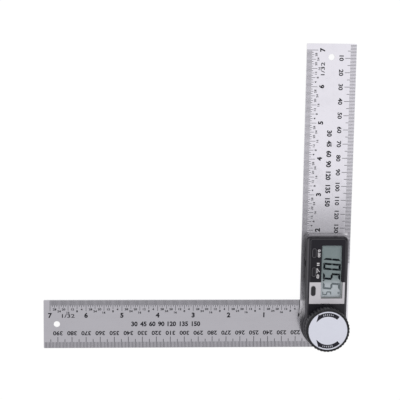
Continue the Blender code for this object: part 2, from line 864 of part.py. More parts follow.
def make_swing_hub(material):
    shoulder = rotor_z() - LAYER_GAP
    profile = [
        (BOLT_BORE, SWING_BACK_Z + LAYER_GAP),
        (SPIGOT_RADIUS, SWING_BACK_Z + LAYER_GAP),
        (SPIGOT_RADIUS, SWING_FRONT_Z + LAYER_GAP),
        (HUB_BODY_RADIUS, SWING_FRONT_Z + LAYER_GAP),
        (HUB_BODY_RADIUS, shoulder),
        (HUB_NECK_RADIUS, shoulder),
        (HUB_NECK_RADIUS, rotor_z() + ROTOR_THICK),
        (BOLT_BORE, rotor_z() + ROTOR_THICK),
    ]
    hub = turned("swing_hub", profile, LARGE_STEPS, material=material)
    depth = SWING_BACK_Z + HUB_SCREW_LENGTH + SLIDE_GAP
    holes = [
        rod(f"hub_hole_{i}", place, HUB_SCREW_RADIUS + TURN_GAP, SWING_FRONT_Z, depth)
        for i, place in enumerate(hub_screw_places(), 1)
    ]
    return cut(hub, *holes)


def make_encoder_rotor(material):
    profile = ring_profile(
        HUB_NECK_RADIUS + TURN_GAP, ROTOR_RADIUS, rotor_z(), rotor_z() + ROTOR_THICK
    )
    return turned("encoder_rotor", profile, LARGE_STEPS, material=material)


def knob_low():
    return FACE_Z + 2 * LAYER_GAP + THRUST_THICK


def knob_top():
    return knob_low() + KNOB_HEIGHT


def make_pivot_bolt(material):
    tip = knob_low() + INSERT_HEIGHT
    profile = [
        (0, 0),
        (HEAD_RADIUS - HEAD_CHAMFER, 0),
        (HEAD_RADIUS, HEAD_CHAMFER),
        (HEAD_RADIUS, HEAD_THICK),
        (BOLT_RADIUS, HEAD_THICK),
        (BOLT_RADIUS, tip - HEAD_CHAMFER),
        (BOLT_RADIUS - HEAD_CHAMFER, tip),
        (0, tip),
    ]
    bolt = turned("pivot_bolt", profile, LARGE_STEPS, material=material)
    flat = prism(
        "bolt_flat",
        [
            (BOLT_FLAT, -HEAD_RADIUS),
            (HEAD_RADIUS, -HEAD_RADIUS),
            (HEAD_RADIUS, HEAD_RADIUS),
            (BOLT_FLAT, HEAD_RADIUS),
        ],
        board_low(),
        tip + OVERRUN,
    )
    return cut(bolt, flat)


def make_rear_washer(material):
    profile = ring_profile(
        BOLT_BORE, REAR_WASHER_RADIUS, REAR_WASHER_Z, REAR_WASHER_Z + REAR_WASHER_THICK
    )
    return turned("rear_washer", profile, LARGE_STEPS, material=material)


def make_friction_ring(material):
    profile = ring_profile(
        HUB_BODY_RADIUS + SLIDE_GAP, FRICTION_RADIUS, FRICTION_Z, FRICTION_Z + FRICTION_THICK
    )
    return turned("friction_ring", profile, LARGE_STEPS, material=material)


def make_thrust_washer(material):
    low = FACE_Z + LAYER_GAP
    profile = ring_profile(BOLT_BORE, THRUST_RADIUS, low, low + THRUST_THICK)
    return turned("thrust_washer", profile, MEDIUM_STEPS, material=material)


def knurl_ring(shrink, depth, height):
    """One ring of the knob's side. Each ridge has a flat top and a flat valley."""
    pitch = 2 * pi / KNOB_RIDGES
    half_top = pitch * RIDGE_TOP_SHARE / 2
    half_foot = pitch * (1 - RIDGE_TOP_SHARE) / 2
    crest = KNOB_RADIUS - shrink
    valley = KNOB_RADIUS - max(shrink, depth)
    points = []
    for i in range(KNOB_RIDGES):
        middle = pitch * i
        for radius, angle in (
            (crest, middle - half_top / 2),
            (crest, middle + half_top / 2),
            (valley, middle + pitch / 2 - half_foot / 2),
            (valley, middle + pitch / 2 + half_foot / 2),
        ):
            points.append((radius * cos(angle), radius * sin(angle), height))
    return points


def make_lock_knob(material):
    low = knob_low() - THRUST_THICK / 2
    high = knob_top()
    rings = [
        knurl_ring(KNOB_FOOT_CHAMFER, RIDGE_DEPTH, low),
        knurl_ring(0, RIDGE_DEPTH, low + KNOB_FOOT_CHAMFER),
        knurl_ring(0, RIDGE_DEPTH, high - KNOB_CHAMFER),
        knurl_ring(KNOB_CHAMFER, RIDGE_DEPTH, high),
    ]
    knob = loft("lock_knob", rings, material)
    pocket_floor = high - DISC_THICK - LAYER_GAP
    pocket_radius = DISC_RADIUS + SIDE_GAP
    pocket = rod("knob_pocket", (0, 0), pocket_radius, pocket_floor, high + OVERRUN, LARGE_STEPS)
    crown_low = pocket_floor - KNOB_CROWN
    hollow = turned(
        "knob_hollow",
        ring_profile(KNOB_BOSS_RADIUS, KNOB_RADIUS - KNOB_RIM_WALL, low - OVERRUN, crown_low),
        LARGE_STEPS,
    )
    seat = rod(
        "knob_seat", (0, 0), THRUST_RADIUS + SLIDE_GAP, low - OVERRUN, knob_low() + LAYER_GAP, LARGE_STEPS
    )
    insert_top = knob_low() + INSERT_HEIGHT + 2 * LAYER_GAP
    bore = rod(
        "knob_bore", (0, 0), INSERT_RADIUS + TURN_GAP, low - OVERRUN, insert_top + SLIDE_GAP, MEDIUM_STEPS
    )
    return cut(knob, pocket, hollow, seat, bore)


def make_knob_insert(material):
    low = knob_low() + 2 * LAYER_GAP
    profile = ring_profile(BOLT_BORE, INSERT_RADIUS, low, low + INSERT_HEIGHT)
    return turned("knob_insert", profile, MEDIUM_STEPS, material=material)


def make_knob_disc(material):
    low = knob_top() - DISC_THICK
    edge = DISC_THICK / 5
    profile = [
        (0, low),
        (DISC_RADIUS, low),
        (DISC_RADIUS, knob_top() - edge),
        (DISC_RADIUS - edge, knob_top()),
        (0, knob_top()),
    ]
    return turned("knob_disc", profile, LARGE_STEPS, material=material)


def joint_empty(name, place):
    """A parent for a moving group, standing on its joint's axis."""
    item = bpy.data.objects.new(name, None)
    item.location = place
    bpy.context.scene.collection.objects.link(item)
    return item


def attach(parent, children):
    """Parents the children and keeps them where they are."""
    bpy.context.view_layer.update()
    for child in children:
        child.parent = parent
        child.matrix_parent_inverse = parent.matrix_world.inverted()


def build():
    clear_scene()
    steel = paint("brushed_rule_steel", STEEL, 0.32, 1.0)
    bright_steel = paint("bright_steel", (0.62, 0.62, 0.64), 0.25, 1.0)
    black = paint("black_plastic", BLACK_PLASTIC, 0.42, 0.0)
    knob_black = paint("knob_plastic", (0.018, 0.018, 0.022), 0.38, 0.0)
    print_black = paint("panel_print", (0.035, 0.034, 0.042), 0.30, 0.0)
    clear = paint("clear_window", (0.55, 0.60, 0.60), 0.05, 0.0)
    glass = paint("display_glass", (0.36, 0.42, 0.41), 0.15, 0.0)
    rubber = paint("strip_rubber", (0.60, 0.32, 0.38), 0.70, 0.0)
    board = paint("board_laminate", (0.02, 0.16, 0.07), 0.45, 0.0)
    brass = paint("brass", (0.72, 0.50, 0.20), 0.30, 1.0)
    nylon = paint("washer_nylon", (0.78, 0.77, 0.72), 0.50, 0.0)
    silver = paint("silver_disc", (0.66, 0.68, 0.74), 0.35, 0.8)
    key_rubber = paint("key_rubber", (0.028, 0.027, 0.032), 0.55, 0.0)

    make_display_blade(steel)
    make_base_shell(black)
    make_top_shell(black)
    make_face_panel(print_black)
    make_display_window(clear)
    make_lcd_module(glass)
    make_elastomer_strip("elastomer_strip_left", -1, rubber)
    make_elastomer_strip("elastomer_strip_right", 1, rubber)
    make_circuit_board(board)
    make_contact_positive(bright_steel)
    make_contact_negative(bright_steel)
    make_bearing_bush(brass)
    make_pivot_bolt(bright_steel)
    make_rear_washer(nylon)
    make_thrust_washer(bright_steel)
    for i, place in enumerate(post_places(), 1):
        countersunk_screw(
            f"shell_screw_{i}",
            place,
            SHELL_HEAD_RADIUS,
            SHELL_SCREW_RADIUS,
            SHELL_SCREW_LENGTH,
            DISPLAY_BACK_Z,
            bright_steel,
        )

    swing_group = [
        make_swing_blade(steel),
        make_swing_hub(bright_steel),
        make_encoder_rotor(board),
        make_friction_ring(nylon),
    ]
    for i, place in enumerate(hub_screw_places(), 1):
        screw = countersunk_screw(
            f"hub_screw_{i}",
            place,
            HUB_HEAD_RADIUS,
            HUB_SCREW_RADIUS,
            HUB_SCREW_LENGTH,
            SWING_BACK_Z,
            bright_steel,
        )
        swing_group.append(screw)
    attach(joint_empty("arm_swing_axis", (0, 0, SWING_BACK_Z)), swing_group)

    knob_group = [
        make_lock_knob(knob_black),
        make_knob_insert(brass),
        make_knob_disc(silver),
    ]
    attach(joint_empty("knob_turn_axis", (0, 0, knob_low())), knob_group)

    tray_group = [make_battery_tray(black), make_coin_cell(bright_steel)]
    attach(joint_empty("tray_pull_axis", (tray_edges()[0], TRAY_MIDDLE, FLOOR_Z)), tray_group)

    for name, place in key_places().items():
        key = make_key(name, place, key_rubber)
        attach(joint_empty(name + "_axis", (*place, ROOF_Z)), [key])
        make_snap_dome(name.replace("key", "dome"), place, bright_steel)


build()
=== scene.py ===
import math

import bmesh
import bpy
from mathutils import Matrix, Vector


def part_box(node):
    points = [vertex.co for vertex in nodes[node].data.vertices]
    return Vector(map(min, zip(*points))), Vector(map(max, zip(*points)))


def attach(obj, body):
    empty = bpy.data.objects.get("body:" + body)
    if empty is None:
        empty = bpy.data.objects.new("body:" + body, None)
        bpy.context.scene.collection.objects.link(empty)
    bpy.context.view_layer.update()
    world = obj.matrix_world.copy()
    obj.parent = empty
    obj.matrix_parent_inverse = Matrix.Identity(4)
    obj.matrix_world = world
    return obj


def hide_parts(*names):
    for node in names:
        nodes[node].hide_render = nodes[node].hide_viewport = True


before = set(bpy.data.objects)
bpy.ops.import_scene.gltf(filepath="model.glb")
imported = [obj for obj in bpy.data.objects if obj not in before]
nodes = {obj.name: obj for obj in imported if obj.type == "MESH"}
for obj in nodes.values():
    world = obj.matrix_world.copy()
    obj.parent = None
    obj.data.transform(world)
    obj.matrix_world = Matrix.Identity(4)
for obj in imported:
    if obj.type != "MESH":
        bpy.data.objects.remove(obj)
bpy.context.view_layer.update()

# Angle finder with arms: finishes, printed scales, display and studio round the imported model.
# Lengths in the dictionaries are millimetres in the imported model's own frame.
scene = bpy.context.scene
mm = 0.001
print("frame loaded, nodes:", len(nodes))


class Sock:  # an output socket that can stand in a sum
    def __init__(self, finish, output):
        self.finish = finish
        self.output = output

    def calc(self, operation, *values):
        return self.finish.add("ShaderNodeMath", {"operation": operation}, dict(enumerate(values)))

    def __add__(self, other):
        return self.calc("ADD", self, other)

    def __radd__(self, other):
        return self.calc("ADD", other, self)

    def __sub__(self, other):
        return self.calc("SUBTRACT", self, other)

    def __rsub__(self, other):
        return self.calc("SUBTRACT", other, self)

    def __mul__(self, other):
        return self.calc("MULTIPLY", self, other)

    def __rmul__(self, other):
        return self.calc("MULTIPLY", other, self)

    def __abs__(self):
        return self.calc("ABSOLUTE", self)


class Finish:  # a material and the calls that build its nodes
    def __init__(self, name, **fixed):
        self.material = bpy.data.materials.new(name)
        self.material.use_nodes = True
        self.tree = self.material.node_tree
        self.shader = self.tree.nodes["Principled BSDF"]
        for socket, value in fixed.items():
            self.feed(self.shader.inputs[socket.replace("_", " ")], value)

    def feed(self, socket, value):
        if isinstance(value, Sock):
            self.tree.links.new(value.output, socket)
        elif socket.type == "RGBA" and len(value) == 3:
            socket.default_value = (*value, 1)
        else:
            socket.default_value = value

    def add(self, kind, settings=None, inputs=None, output=0):
        node = self.tree.nodes.new(kind)
        for key, value in (settings or {}).items():
            setattr(node, key, value)
        for key, value in (inputs or {}).items():
            self.feed(node.inputs[key], value)
        return Sock(self, node.outputs[output])

    def place(self, stretch=(1, 1, 1), turn=0):  # the object's own position in mm, stretched
        point = self.add("ShaderNodeTexCoord", output=3)
        if turn:
            angles = (0, 0, math.radians(turn))
            point = self.add("ShaderNodeMapping", None, {"Vector": point, "Rotation": angles})
        scale = [1 / mm * s for s in stretch]
        return self.add("ShaderNodeVectorMath", {"operation": "MULTIPLY"}, {0: point, 1: scale})

    def noise(self, stretch, detail=2, rough=0.5, turn=0):
        inputs = {"Vector": self.place(stretch, turn), "Scale": 1, "Detail": detail, "Roughness": rough}
        return self.add("ShaderNodeTexNoise", None, inputs)

    def axis(self, letter):
        return self.add("ShaderNodeSeparateXYZ", None, {0: self.place()}, "XYZ".index(letter))

    def ease(self, value, low, high):  # 0 under low, 1 over high, smooth between
        inputs = {"Value": value, "From Min": low, "From Max": high}
        return self.add("ShaderNodeMapRange", {"interpolation_type": "SMOOTHSTEP"}, inputs)

    def between(self, value, low, full, last, high):  # 1 from full to last, 0 outside low and high
        return self.ease(value, low, full) * (1 - self.ease(value, last, high))

    def mix(self, factor, first, second):
        return self.add("ShaderNodeMix", {"data_type": "RGBA"}, {0: factor, 6: first, 7: second}, 2)

    def tint(self, color, amount):  # a colour made lighter or darker by a number
        return self.add("ShaderNodeVectorMath", {"operation": "SCALE"}, {0: color, "Scale": amount})

    def bump(self, height, depth, strength=1):
        inputs = {"Height": height, "Distance": depth * mm, "Strength": strength}
        return self.add("ShaderNodeBump", None, inputs)

    def wear(self, color=None, roughness=None, normal=None):
        for name, value in (("Base Color", color), ("Roughness", roughness), ("Normal", normal)):
            if value is not None:
                self.feed(self.shader.inputs[name], value)
        return self.material


def dress(names, material):
    for name in names:
        nodes[name].data.materials.clear()
        nodes[name].data.materials.append(material)


def topOf(node):
    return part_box(node)[1].z / mm


softLook = {
    "weld": 0.002,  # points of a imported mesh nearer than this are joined
    "join": 0.0001,  # and points of a piece made here
    "sharpAngle": 32,  # edges over this many degrees stay sharp
    "turnedAngle": 35,  # the same for turned pieces
    "bevelAngle": 40,
}


def softGroup():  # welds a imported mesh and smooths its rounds, and leaves its corners sharp
    group = bpy.data.node_groups.new("softFaces", "GeometryNodeTree")
    for side in ("INPUT", "OUTPUT"):
        group.interface.new_socket("Geometry", in_out=side, socket_type="NodeSocketGeometry")
    make = group.nodes.new
    link = group.links.new
    start, end = make("NodeGroupInput"), make("NodeGroupOutput")
    weld = make("GeometryNodeMergeByDistance")
    weld.inputs["Distance"].default_value = softLook["weld"] * mm
    plain = make("GeometryNodeRemoveAttribute")
    plain.inputs["Name"].default_value = "custom_normal"
    faces, edges = make("GeometryNodeSetShadeSmooth"), make("GeometryNodeSetShadeSmooth")
    faces.domain, edges.domain = "FACE", "EDGE"
    edges.inputs["Shade Smooth"].default_value = False
    angle = make("GeometryNodeInputMeshEdgeAngle")
    sharp = make("ShaderNodeMath")
    sharp.operation = "GREATER_THAN"
    sharp.inputs[1].default_value = math.radians(softLook["sharpAngle"])
    link(start.outputs[0], weld.inputs[0])
    link(weld.outputs[0], plain.inputs[0])
    link(plain.outputs[0], faces.inputs[0])
    link(faces.outputs[0], edges.inputs[0])
    link(angle.outputs[0], sharp.inputs[0])
    link(sharp.outputs[0], edges.inputs["Selection"])
    link(edges.outputs[0], end.inputs[0])
    return group


softFaces = softGroup()


def soften(names, bevel=0):
    for name in names:
        nodes[name].modifiers.new("soft", "NODES").node_group = softFaces
        if bevel:
            edge = nodes[name].modifiers.new("edge", "BEVEL")
            edge.width = bevel * mm
            edge.segments = 2
            edge.limit_method = "ANGLE"
            edge.angle_limit = math.radians(softLook["bevelAngle"])
            edge.miter_outer = "MITER_ARC"
            even = nodes[name].modifiers.new("even", "WEIGHTED_NORMAL")
            even.keep_sharp = True


def addPiece(name, build, material, body):
    bmesh.ops.remove_doubles(build, verts=build.verts, dist=softLook["join"] * mm)
    bmesh.ops.recalc_face_normals(build, faces=build.faces)
    mesh = bpy.data.meshes.new(name)
    build.to_mesh(mesh)
    build.free()
    mesh.materials.append(material)
    piece = bpy.data.objects.new(name, mesh)
    scene.collection.objects.link(piece)
    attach(piece, body)
    return piece


def slab(build, outline, low, high):  # a flat mark with a closed outline, sizes in mm
    rings = [[build.verts.new((x * mm, y * mm, z * mm)) for x, y in outline] for z in (low, high)]
    build.faces.new(reversed(rings[0]))
    build.faces.new(rings[1])
    for i in range(len(outline)):
        j = (i + 1) % len(outline)
        build.faces.new((rings[0][i], rings[0][j], rings[1][j], rings[1][i]))


def bar(x0, y0, x1, y1):
    left, right, foot, head = min(x0, x1), max(x0, x1), min(y0, y1), max(y0, y1)
    return [(left, foot), (right, foot), (right, head), (left, head)]


def rounded(centre, width, length, corner, steps=5):  # a rectangle's outline with round corners
    points = []
    for i, (sideX, sideY) in enumerate(((1, 1), (-1, 1), (-1, -1), (1, -1))):
        for k in range(steps + 1):
            turn = math.pi / 2 * (i + k / steps)
            points.append((centre[0] + sideX * (width / 2 - corner) + corner * math.cos(turn),
                           centre[1] + sideY * (length / 2 - corner) + corner * math.sin(turn)))
    return points


def ringSlab(build, outer, inner, low, high):  # a frame between two outlines of equal count
    count = len(outer)
    rows = [[build.verts.new((x * mm, y * mm, z * mm)) for x, y in line]
            for line, z in ((outer, low), (inner, low), (inner, high), (outer, high))]
    for i in range(count):
        j = (i + 1) % count
        for a, b in ((0, 1), (1, 2), (2, 3), (3, 0)):
            build.faces.new((rows[a][i], rows[a][j], rows[b][j], rows[b][i]))


def frameSlab(build, centre, width, length, corner, line, low, high):
    inner = rounded(centre, width - 2 * line, length - 2 * line, max(corner - line, 0.02))
    ringSlab(build, rounded(centre, width, length, corner), inner, low, high)


def hoop(build, x0, x1, y0, y1, corner, line, low, high):  # a frame that is open at its foot
    def turned(inset):
        width, length = x1 - x0 - 2 * inset, y1 - y0 - 2 * inset
        corners = rounded(((x0 + x1) / 2, (y0 + y1) / 2), width, length, corner - inset)
        return [(x1 - inset, y0)] + corners[:len(corners) // 2] + [(x0 + inset, y0)]
    slab(build, turned(0) + turned(line)[::-1], low, high)


def turnToSide(build, face):  # what was drawn flat now stands on the wall at face and looks along -X
    for v in build.verts:
        across, up, out = v.co
        v.co = (face - out, across, up)


figureHeight = 0.729  # height of a figure in the built-in font at size 1
ink = {
    "sunk": 0.01,  # how far a mark reaches into its surface
    "proud": 0.012,  # and stands out of it
    "panelProud": 0.015,
    "thinColor": (0.16, 0.16, 0.17),  # where it has worn
    "thinShare": 0.5,
}


def inkLevels(top, proud=ink["proud"]):
    return top - ink["sunk"], top + proud


def numberMesh(text, height, spread, weight):  # a number centred on the origin, in mm, 1 mm thick
    curve = bpy.data.curves.new("number", "FONT")
    curve.body = text
    curve.size = height / figureHeight
    curve.offset = weight
    curve.extrude = 0.5
    curve.resolution_u = 3
    holder = bpy.data.objects.new("number", curve)
    scene.collection.objects.link(holder)
    bpy.context.view_layer.update()
    mesh = bpy.data.meshes.new_from_object(holder.evaluated_get(bpy.context.evaluated_depsgraph_get()))
    xs = [v.co.x for v in mesh.vertices]
    middle = (min(xs) + max(xs)) / 2
    mesh.transform(Matrix.Diagonal((spread, 1, 1, 1)) @ Matrix.Translation((-middle, -height / 2, 0)))
    bpy.data.objects.remove(holder)
    bpy.data.curves.remove(curve)
    return mesh


def stamp(build, text, centre, height, turn, spread, weight, low, high):  # spread widens the figures
    mesh = numberMesh(text, height, spread, weight * height / 3)
    move = Matrix.Translation((centre[0] * mm, centre[1] * mm, (low + high) / 2 * mm))
    spin = Matrix.Rotation(math.radians(turn), 4, "Z")
    mesh.transform(move @ spin @ Matrix.Diagonal((mm, mm, (high - low) * mm, 1)))
    build.from_mesh(mesh)
    bpy.data.meshes.remove(mesh)


# steel rules: a pair of numbers is where a change starts and where it is full
halfWidth = 17.5  # of both rules
steelLook = {
    "color": (0.553, 0.540, 0.584),
    "worn": (0.70, 0.69, 0.71),
    "wornShare": 0.35,
    # shine is the colour of the painted highlights and the painted glint
    "shine": (0.95, 0.93, 0.98),
    "roughness": 0.105,
    "lineWidth": 0.11,  # a brushed line, across and along the rule
    "lineLength": 6.0,
    "edge": (halfWidth - 0.35, halfWidth - 0.05),
    "sideShadeX": (13.2, 14.6),  # painted shade: the display rule is darker beside the housing's left wall
    "sideShadeY": (19, 36, 58, 71),
    "sideShadeShare": 0.5,
    "nearX": (11.5, 14.5),  # and a little painted shade above the housing
    "nearY": (64, 96),
    "nearShare": 0.22,
    "highlightX": (14.4, 15.2),  # and a painted highlight beside its right wall
    "glossAndHighlightY": (36, 54),
    "glint": ((14.4, 0.7), (65.9, 0.9)),  # X and Y of a painted glint, each with how fast it fades
    "neckX": (13.8, 14.5),  # and a painted highlight again on the left beside the neck
    "neckY": (2, 7, 17.6, 19.2),
    "neckFull": (10.5, 13),  # over this Y only the outer part has the painted highlight
    "neckOuter": ((-17.5, -15.8), 0.7),
}


def ruleSteel(name, blade, along):
    look = steelLook
    f = Finish(name, Metallic=1)
    thin, long = 1 / look["lineWidth"], 1 / look["lineLength"]
    flip = (lambda a, b: (b, a, b)) if along == "Y" else (lambda a, b: (a, b, b))
    lines = f.noise(flip(long, thin), 3, 0.6)
    bands = f.noise(flip(long / 8, thin / 9), 2)
    mottle = f.noise((2.6, 2.6, 2.6), 3, 0.7)
    hair = f.ease(f.noise((0.11, 5, 1), 1, turn=28), 0.70, 0.73)
    crossHair = f.ease(f.noise((0.14, 6, 1), 1, turn=-52), 0.72, 0.75)
    stain = f.ease(f.noise((0.05, 0.06, 0.05), 3, 0.6), 0.48, 0.72)
    across = abs(f.axis("X" if along == "Y" else "Y"))
    edge = f.ease(across, *look["edge"])
    scratch = 1 - (1 - hair) * (1 - crossHair)
    tone = 0.93 + lines * 0.07 + bands * 0.05 + mottle * 0.04 - stain * 0.035 - scratch * 0.06
    color = f.mix(edge * look["wornShare"], f.tint(look["color"], tone), look["worn"])
    if along == "Y":
        x, y = f.axis("X"), f.axis("Y")
        face = f.ease(f.axis("Z"), topOf(blade) - 0.2, topOf(blade) - 0.1)  # none of this shows on the back
        # painted shade beside the housing's left wall and above it, and painted highlights beside its right
        # wall, at a glint and beside the neck
        sideShade = f.ease(0 - x, *look["sideShadeX"]) * f.between(y, *look["sideShadeY"])
        near = (1 - f.ease(y, *look["nearY"])) * (1 - f.ease(across, *look["nearX"]))
        paintedHighlight = f.ease(x, *look["highlightX"]) * (1 - f.ease(y, *look["glossAndHighlightY"]))
        (spotX, fadeX), (spotY, fadeY) = look["glint"]
        glint = f.ease(1 - abs(x - spotX) * fadeX, 0, 0.6) * f.ease(1 - abs(y - spotY) * fadeY, 0, 0.6)
        beside = 1 - f.ease(y, *look["neckFull"])
        outer, share = look["neckOuter"]
        beside = beside + (1 - beside) * f.ease(x, *outer) * share
        neck = f.ease(0 - x, *look["neckX"]) * f.between(y, *look["neckY"]) * beside
        paintedHighlight = (1 - (1 - paintedHighlight) * (1 - glint) * (1 - neck)) * face
        shade = 1 - (sideShade * look["sideShadeShare"] + near * look["nearShare"]) * face
        color = f.mix(paintedHighlight, f.tint(color, shade), look["shine"])
    rough = look["roughness"] + lines * 0.05 + mottle * 0.05 + stain * 0.05 + scratch * 0.12 + edge * 0.06
    return f.wear(color, rough, f.bump(lines + mottle * 0.5 - scratch * 0.8, 0.004))


displaySteel = ruleSteel("displayRuleSteel", "display_blade", "Y")
swingSteel = ruleSteel("swingRuleSteel", "swing_blade", "X")
dress(["display_blade"], displaySteel)
dress(["swing_blade"], swingSteel)
soften(["display_blade", "swing_blade"], bevel=0.1)
print("rules finished")


def inkFinish(name, color, roughness=0.5, shine=0.12):  # print that has worn thin in specks
    f = Finish(name, Metallic=0, Specular_IOR_Level=shine)
    speck = f.noise((9, 9, 9), 3, 0.7)
    thin = f.ease(speck, 0.62, 0.75)
    full = f.tint(color, 0.8 + speck * 0.5)
    color = f.mix(thin * ink["thinShare"], full, ink["thinColor"])
    return f.wear(color, roughness - 0.1 + speck * 0.2, f.bump(speck, 0.004))


# both scales on each rule: lengths of marks are measured from the rule's edge
scaleLook = {
    "color": (0.013, 0.013, 0.018),
    "edge": 0.12,  # where marks start
    "lineWidth": {"mm": 0.32, "inch": 0.34},
    "longWidth": {"display": 0.34, "swing": 0.40},  # lines of five and ten millimetres
    "longInch": 0.30,  # eighths and above
    "mmTicks": {"display": (4.25, 6.2, 7.9), "swing": (4.4, 6.45, 8.15)},  # each millimetre, five and ten
    "inchTicks": (3.8, 4.8, 5.4, 6.55, 7.75, 8.05),  # 32nd, 16th, eighth, quarter, half and inch
    "mmNumber": {"display": 10.45, "swing": 10.75},  # centre from the edge
    "mmHeight": 3.0,
    "mmSpread": 1.13,
    "mmWeight": 0.125,
    "hundreds": {"display": -0.55, "swing": 0},  # numbers of three figures lie this much nearer to the pivot
    "inchNumber": (11.0, 3.4),  # centre from the edge and height
    "inchSpread": 1.06,
    "inchWeight": 0.19,
    "inchShift": {"display": 0.2, "swing": 0},  # inch numbers lie this much further out
    "noughtShift": -0.6,  # the nought is half covered
    "smallNumber": {4: 6.7, 12: 6.7, 20: 6.7, 28: 6.7, 8: 8.1, 24: 8.1, 16: 9.1},
    "smallHeight": 1.5,
    "smallSpread": 1.22,
    "smallWeight": {"display": 0.09, "swing": 0.15},
    "inchZero": 17.65,  # from the pivot
    "armLength": 200.0,
    "lastMark": {"display": 156, "swing": 200},  # millimetres from the arm's end
    # numbers nearer to the pivot than this are left out, on the swing rule only the small ones
    "covered": {"display": 66.5, "swing": 19},
}
blackEtch = inkFinish("blackEtch", scaleLook["color"])


def inchLevel(part):
    for level, step in ((5, 32), (4, 16), (3, 8), (2, 4), (1, 2)):
        if part % step == 0:
            return level
    return 0


def engraveArm(arm, body, top, toMm, toInch, turnMm, turnInch):
    # toMm and toInch give a point on the rule from a depth and a distance from the pivot
    look = scaleLook
    low, high = inkLevels(top)
    covered = look["covered"]["display"] if arm == "display" else 0

    def tickPiece(name, toPoint, marks):
        build = bmesh.new()
        for distance, length, width in marks:
            first = toPoint(look["edge"], distance - width / 2)
            last = toPoint(length, distance + width / 2)
            slab(build, bar(*first, *last), low, high)
        addPiece(f"{arm}_{name}", build, blackEtch, body)

    mmMarks = []
    for value in range(1, look["lastMark"][arm]):
        level = 2 if value % 10 == 0 else 1 if value % 5 == 0 else 0
        width = look["longWidth"][arm] if level else look["lineWidth"]["mm"]
        mmMarks.append((look["armLength"] - value, look["mmTicks"][arm][level], width))
    tickPiece("millimetre_ticks", toMm, mmMarks)
    inchMarks = []
    for part in range(7 * 32 + 1):
        level = inchLevel(part)
        width = look["longInch"] if level > 1 else look["lineWidth"]["inch"]
        inchMarks.append((look["inchZero"] + 25.4 * part / 32, look["inchTicks"][level], width))
    tickPiece("inch_ticks", toInch, inchMarks)

    build = bmesh.new()
    for tens in range(10, 200, 10):
        value = tens if arm == "display" else 400 - tens
        distance = look["armLength"] - tens
        if distance > covered:
            distance += look["hundreds"][arm] if value > 99 else 0
            centre = toMm(look["mmNumber"][arm], distance)
            stamp(build, str(value), centre, look["mmHeight"], turnMm,
                  look["mmSpread"], look["mmWeight"], low, high)
    addPiece(f"{arm}_millimetre_numbers", build, blackEtch, body)

    build = bmesh.new()
    for inch in range(0, 8):
        distance = look["inchZero"] + 25.4 * inch
        if distance > covered:
            distance += look["inchShift"][arm] if inch else look["noughtShift"]
            depth, height = look["inchNumber"]
            stamp(build, str(inch), toInch(depth, distance), height, turnInch,
                  look["inchSpread"], look["inchWeight"], low, high)
    addPiece(f"{arm}_inch_numbers", build, blackEtch, body)

    build = bmesh.new()
    for inch in range(0, 7):
        for part, depth in look["smallNumber"].items():
            distance = look["inchZero"] + 25.4 * (inch + part / 32)
            if distance > look["covered"][arm]:
                stamp(build, str(part), toInch(depth, distance), look["smallHeight"], turnInch,
                      look["smallSpread"], look["smallWeight"][arm], low, high)
    addPiece(f"{arm}_small_numbers", build, blackEtch, body)


displayTop = topOf("display_blade")
swingTop = topOf("swing_blade")
engraveArm("display", "display_arm", displayTop,
           lambda depth, distance: (halfWidth - depth, distance),
           lambda depth, distance: (depth - halfWidth, distance), -90, 90)
engraveArm("swing", "swing_arm", swingTop,
           lambda depth, distance: (-distance, depth - halfWidth),
           lambda depth, distance: (-distance, halfWidth - depth), 180, 0)
print("scales engraved")

# plain rows of common angles along the middle of both rules, and the inch scale's division
angleRow = {
    "numbers": (30, 45, 60, 90, 120, 135, 150),
    "height": 3.3,
    "figureWidth": 2.3,
    "displayRow": (139.7, 85.0, 0.2),  # both ends along the rule, and the place across it
    "swingRow": (-138.0, -88.3, 0.1),
    "weight": 0.165,
    "spread": 1.0,
    "division": ("1/32", 2.7, 1.55, 0.06),  # text, height, width and weight
    "divisionAt": {"display": (-6.0, 182.6), "swing": (-182.6, 6.1)},
}


def angleNumbers(name, body, top, toPoint, turn, first, last):
    look = angleRow
    low, high = inkLevels(top)
    build = bmesh.new()
    widths = [len(str(n)) * look["figureWidth"] for n in look["numbers"]]
    gap = (abs(last - first) - sum(widths)) / (len(widths) - 1)
    reach = 0
    for number, width in zip(look["numbers"], widths):
        middle = first + math.copysign(reach + width / 2, last - first)
        stamp(build, str(number), toPoint(middle), look["height"], turn,
              look["spread"], look["weight"], low, high)
        reach += width + gap
    addPiece(name, build, blackEtch, body)


first, last, rowX = angleRow["displayRow"]
angleNumbers("display_angle_numbers", "display_arm", displayTop, lambda m: (rowX, m), -90, first, last)
first, last, rowY = angleRow["swingRow"]
angleNumbers("swing_angle_numbers", "swing_arm", swingTop, lambda m: (m, rowY), 0, first, last)

text, height, spread, weight = angleRow["division"]
for arm, top, turn in (("display", displayTop, 90), ("swing", swingTop, 0)):
    build = bmesh.new()
    stamp(build, text, angleRow["divisionAt"][arm], height, turn, spread, weight, *inkLevels(top))
    addPiece(arm + "_division_number", build, blackEtch, arm + "_arm")


plasticLook = {  # colour, roughness, grain per mm, its depth in mm, and how much it shines
    "shell": ((0.010, 0.009, 0.013), 0.22, 5.0, 0.002),
    "tray": ((0.0105, 0.0095, 0.0135), 0.24, 5.0, 0.003),
    "cover": ((0.0068, 0.0060, 0.0098), 0.50, 5.0, 0.008, 0.17),
    "knob": ((0.008, 0.0075, 0.0105), 0.42, 7.0, 0.008, 0.30),
    "rubber": ((0.017, 0.016, 0.020), 0.58, 9.0, 0.008, 0.35),
    "key": ((0.0115, 0.0105, 0.0145), 0.45, 9.0, 0.006, 0.2),
    "nylon": ((0.74, 0.73, 0.68), 0.50, 2.0, 0.006),
    "scuffColor": (0.10, 0.10, 0.11),
    "scuffShare": 0.06,
    "unpolished": 0.30,  # how much rougher a polished plastic is where it is dull
}
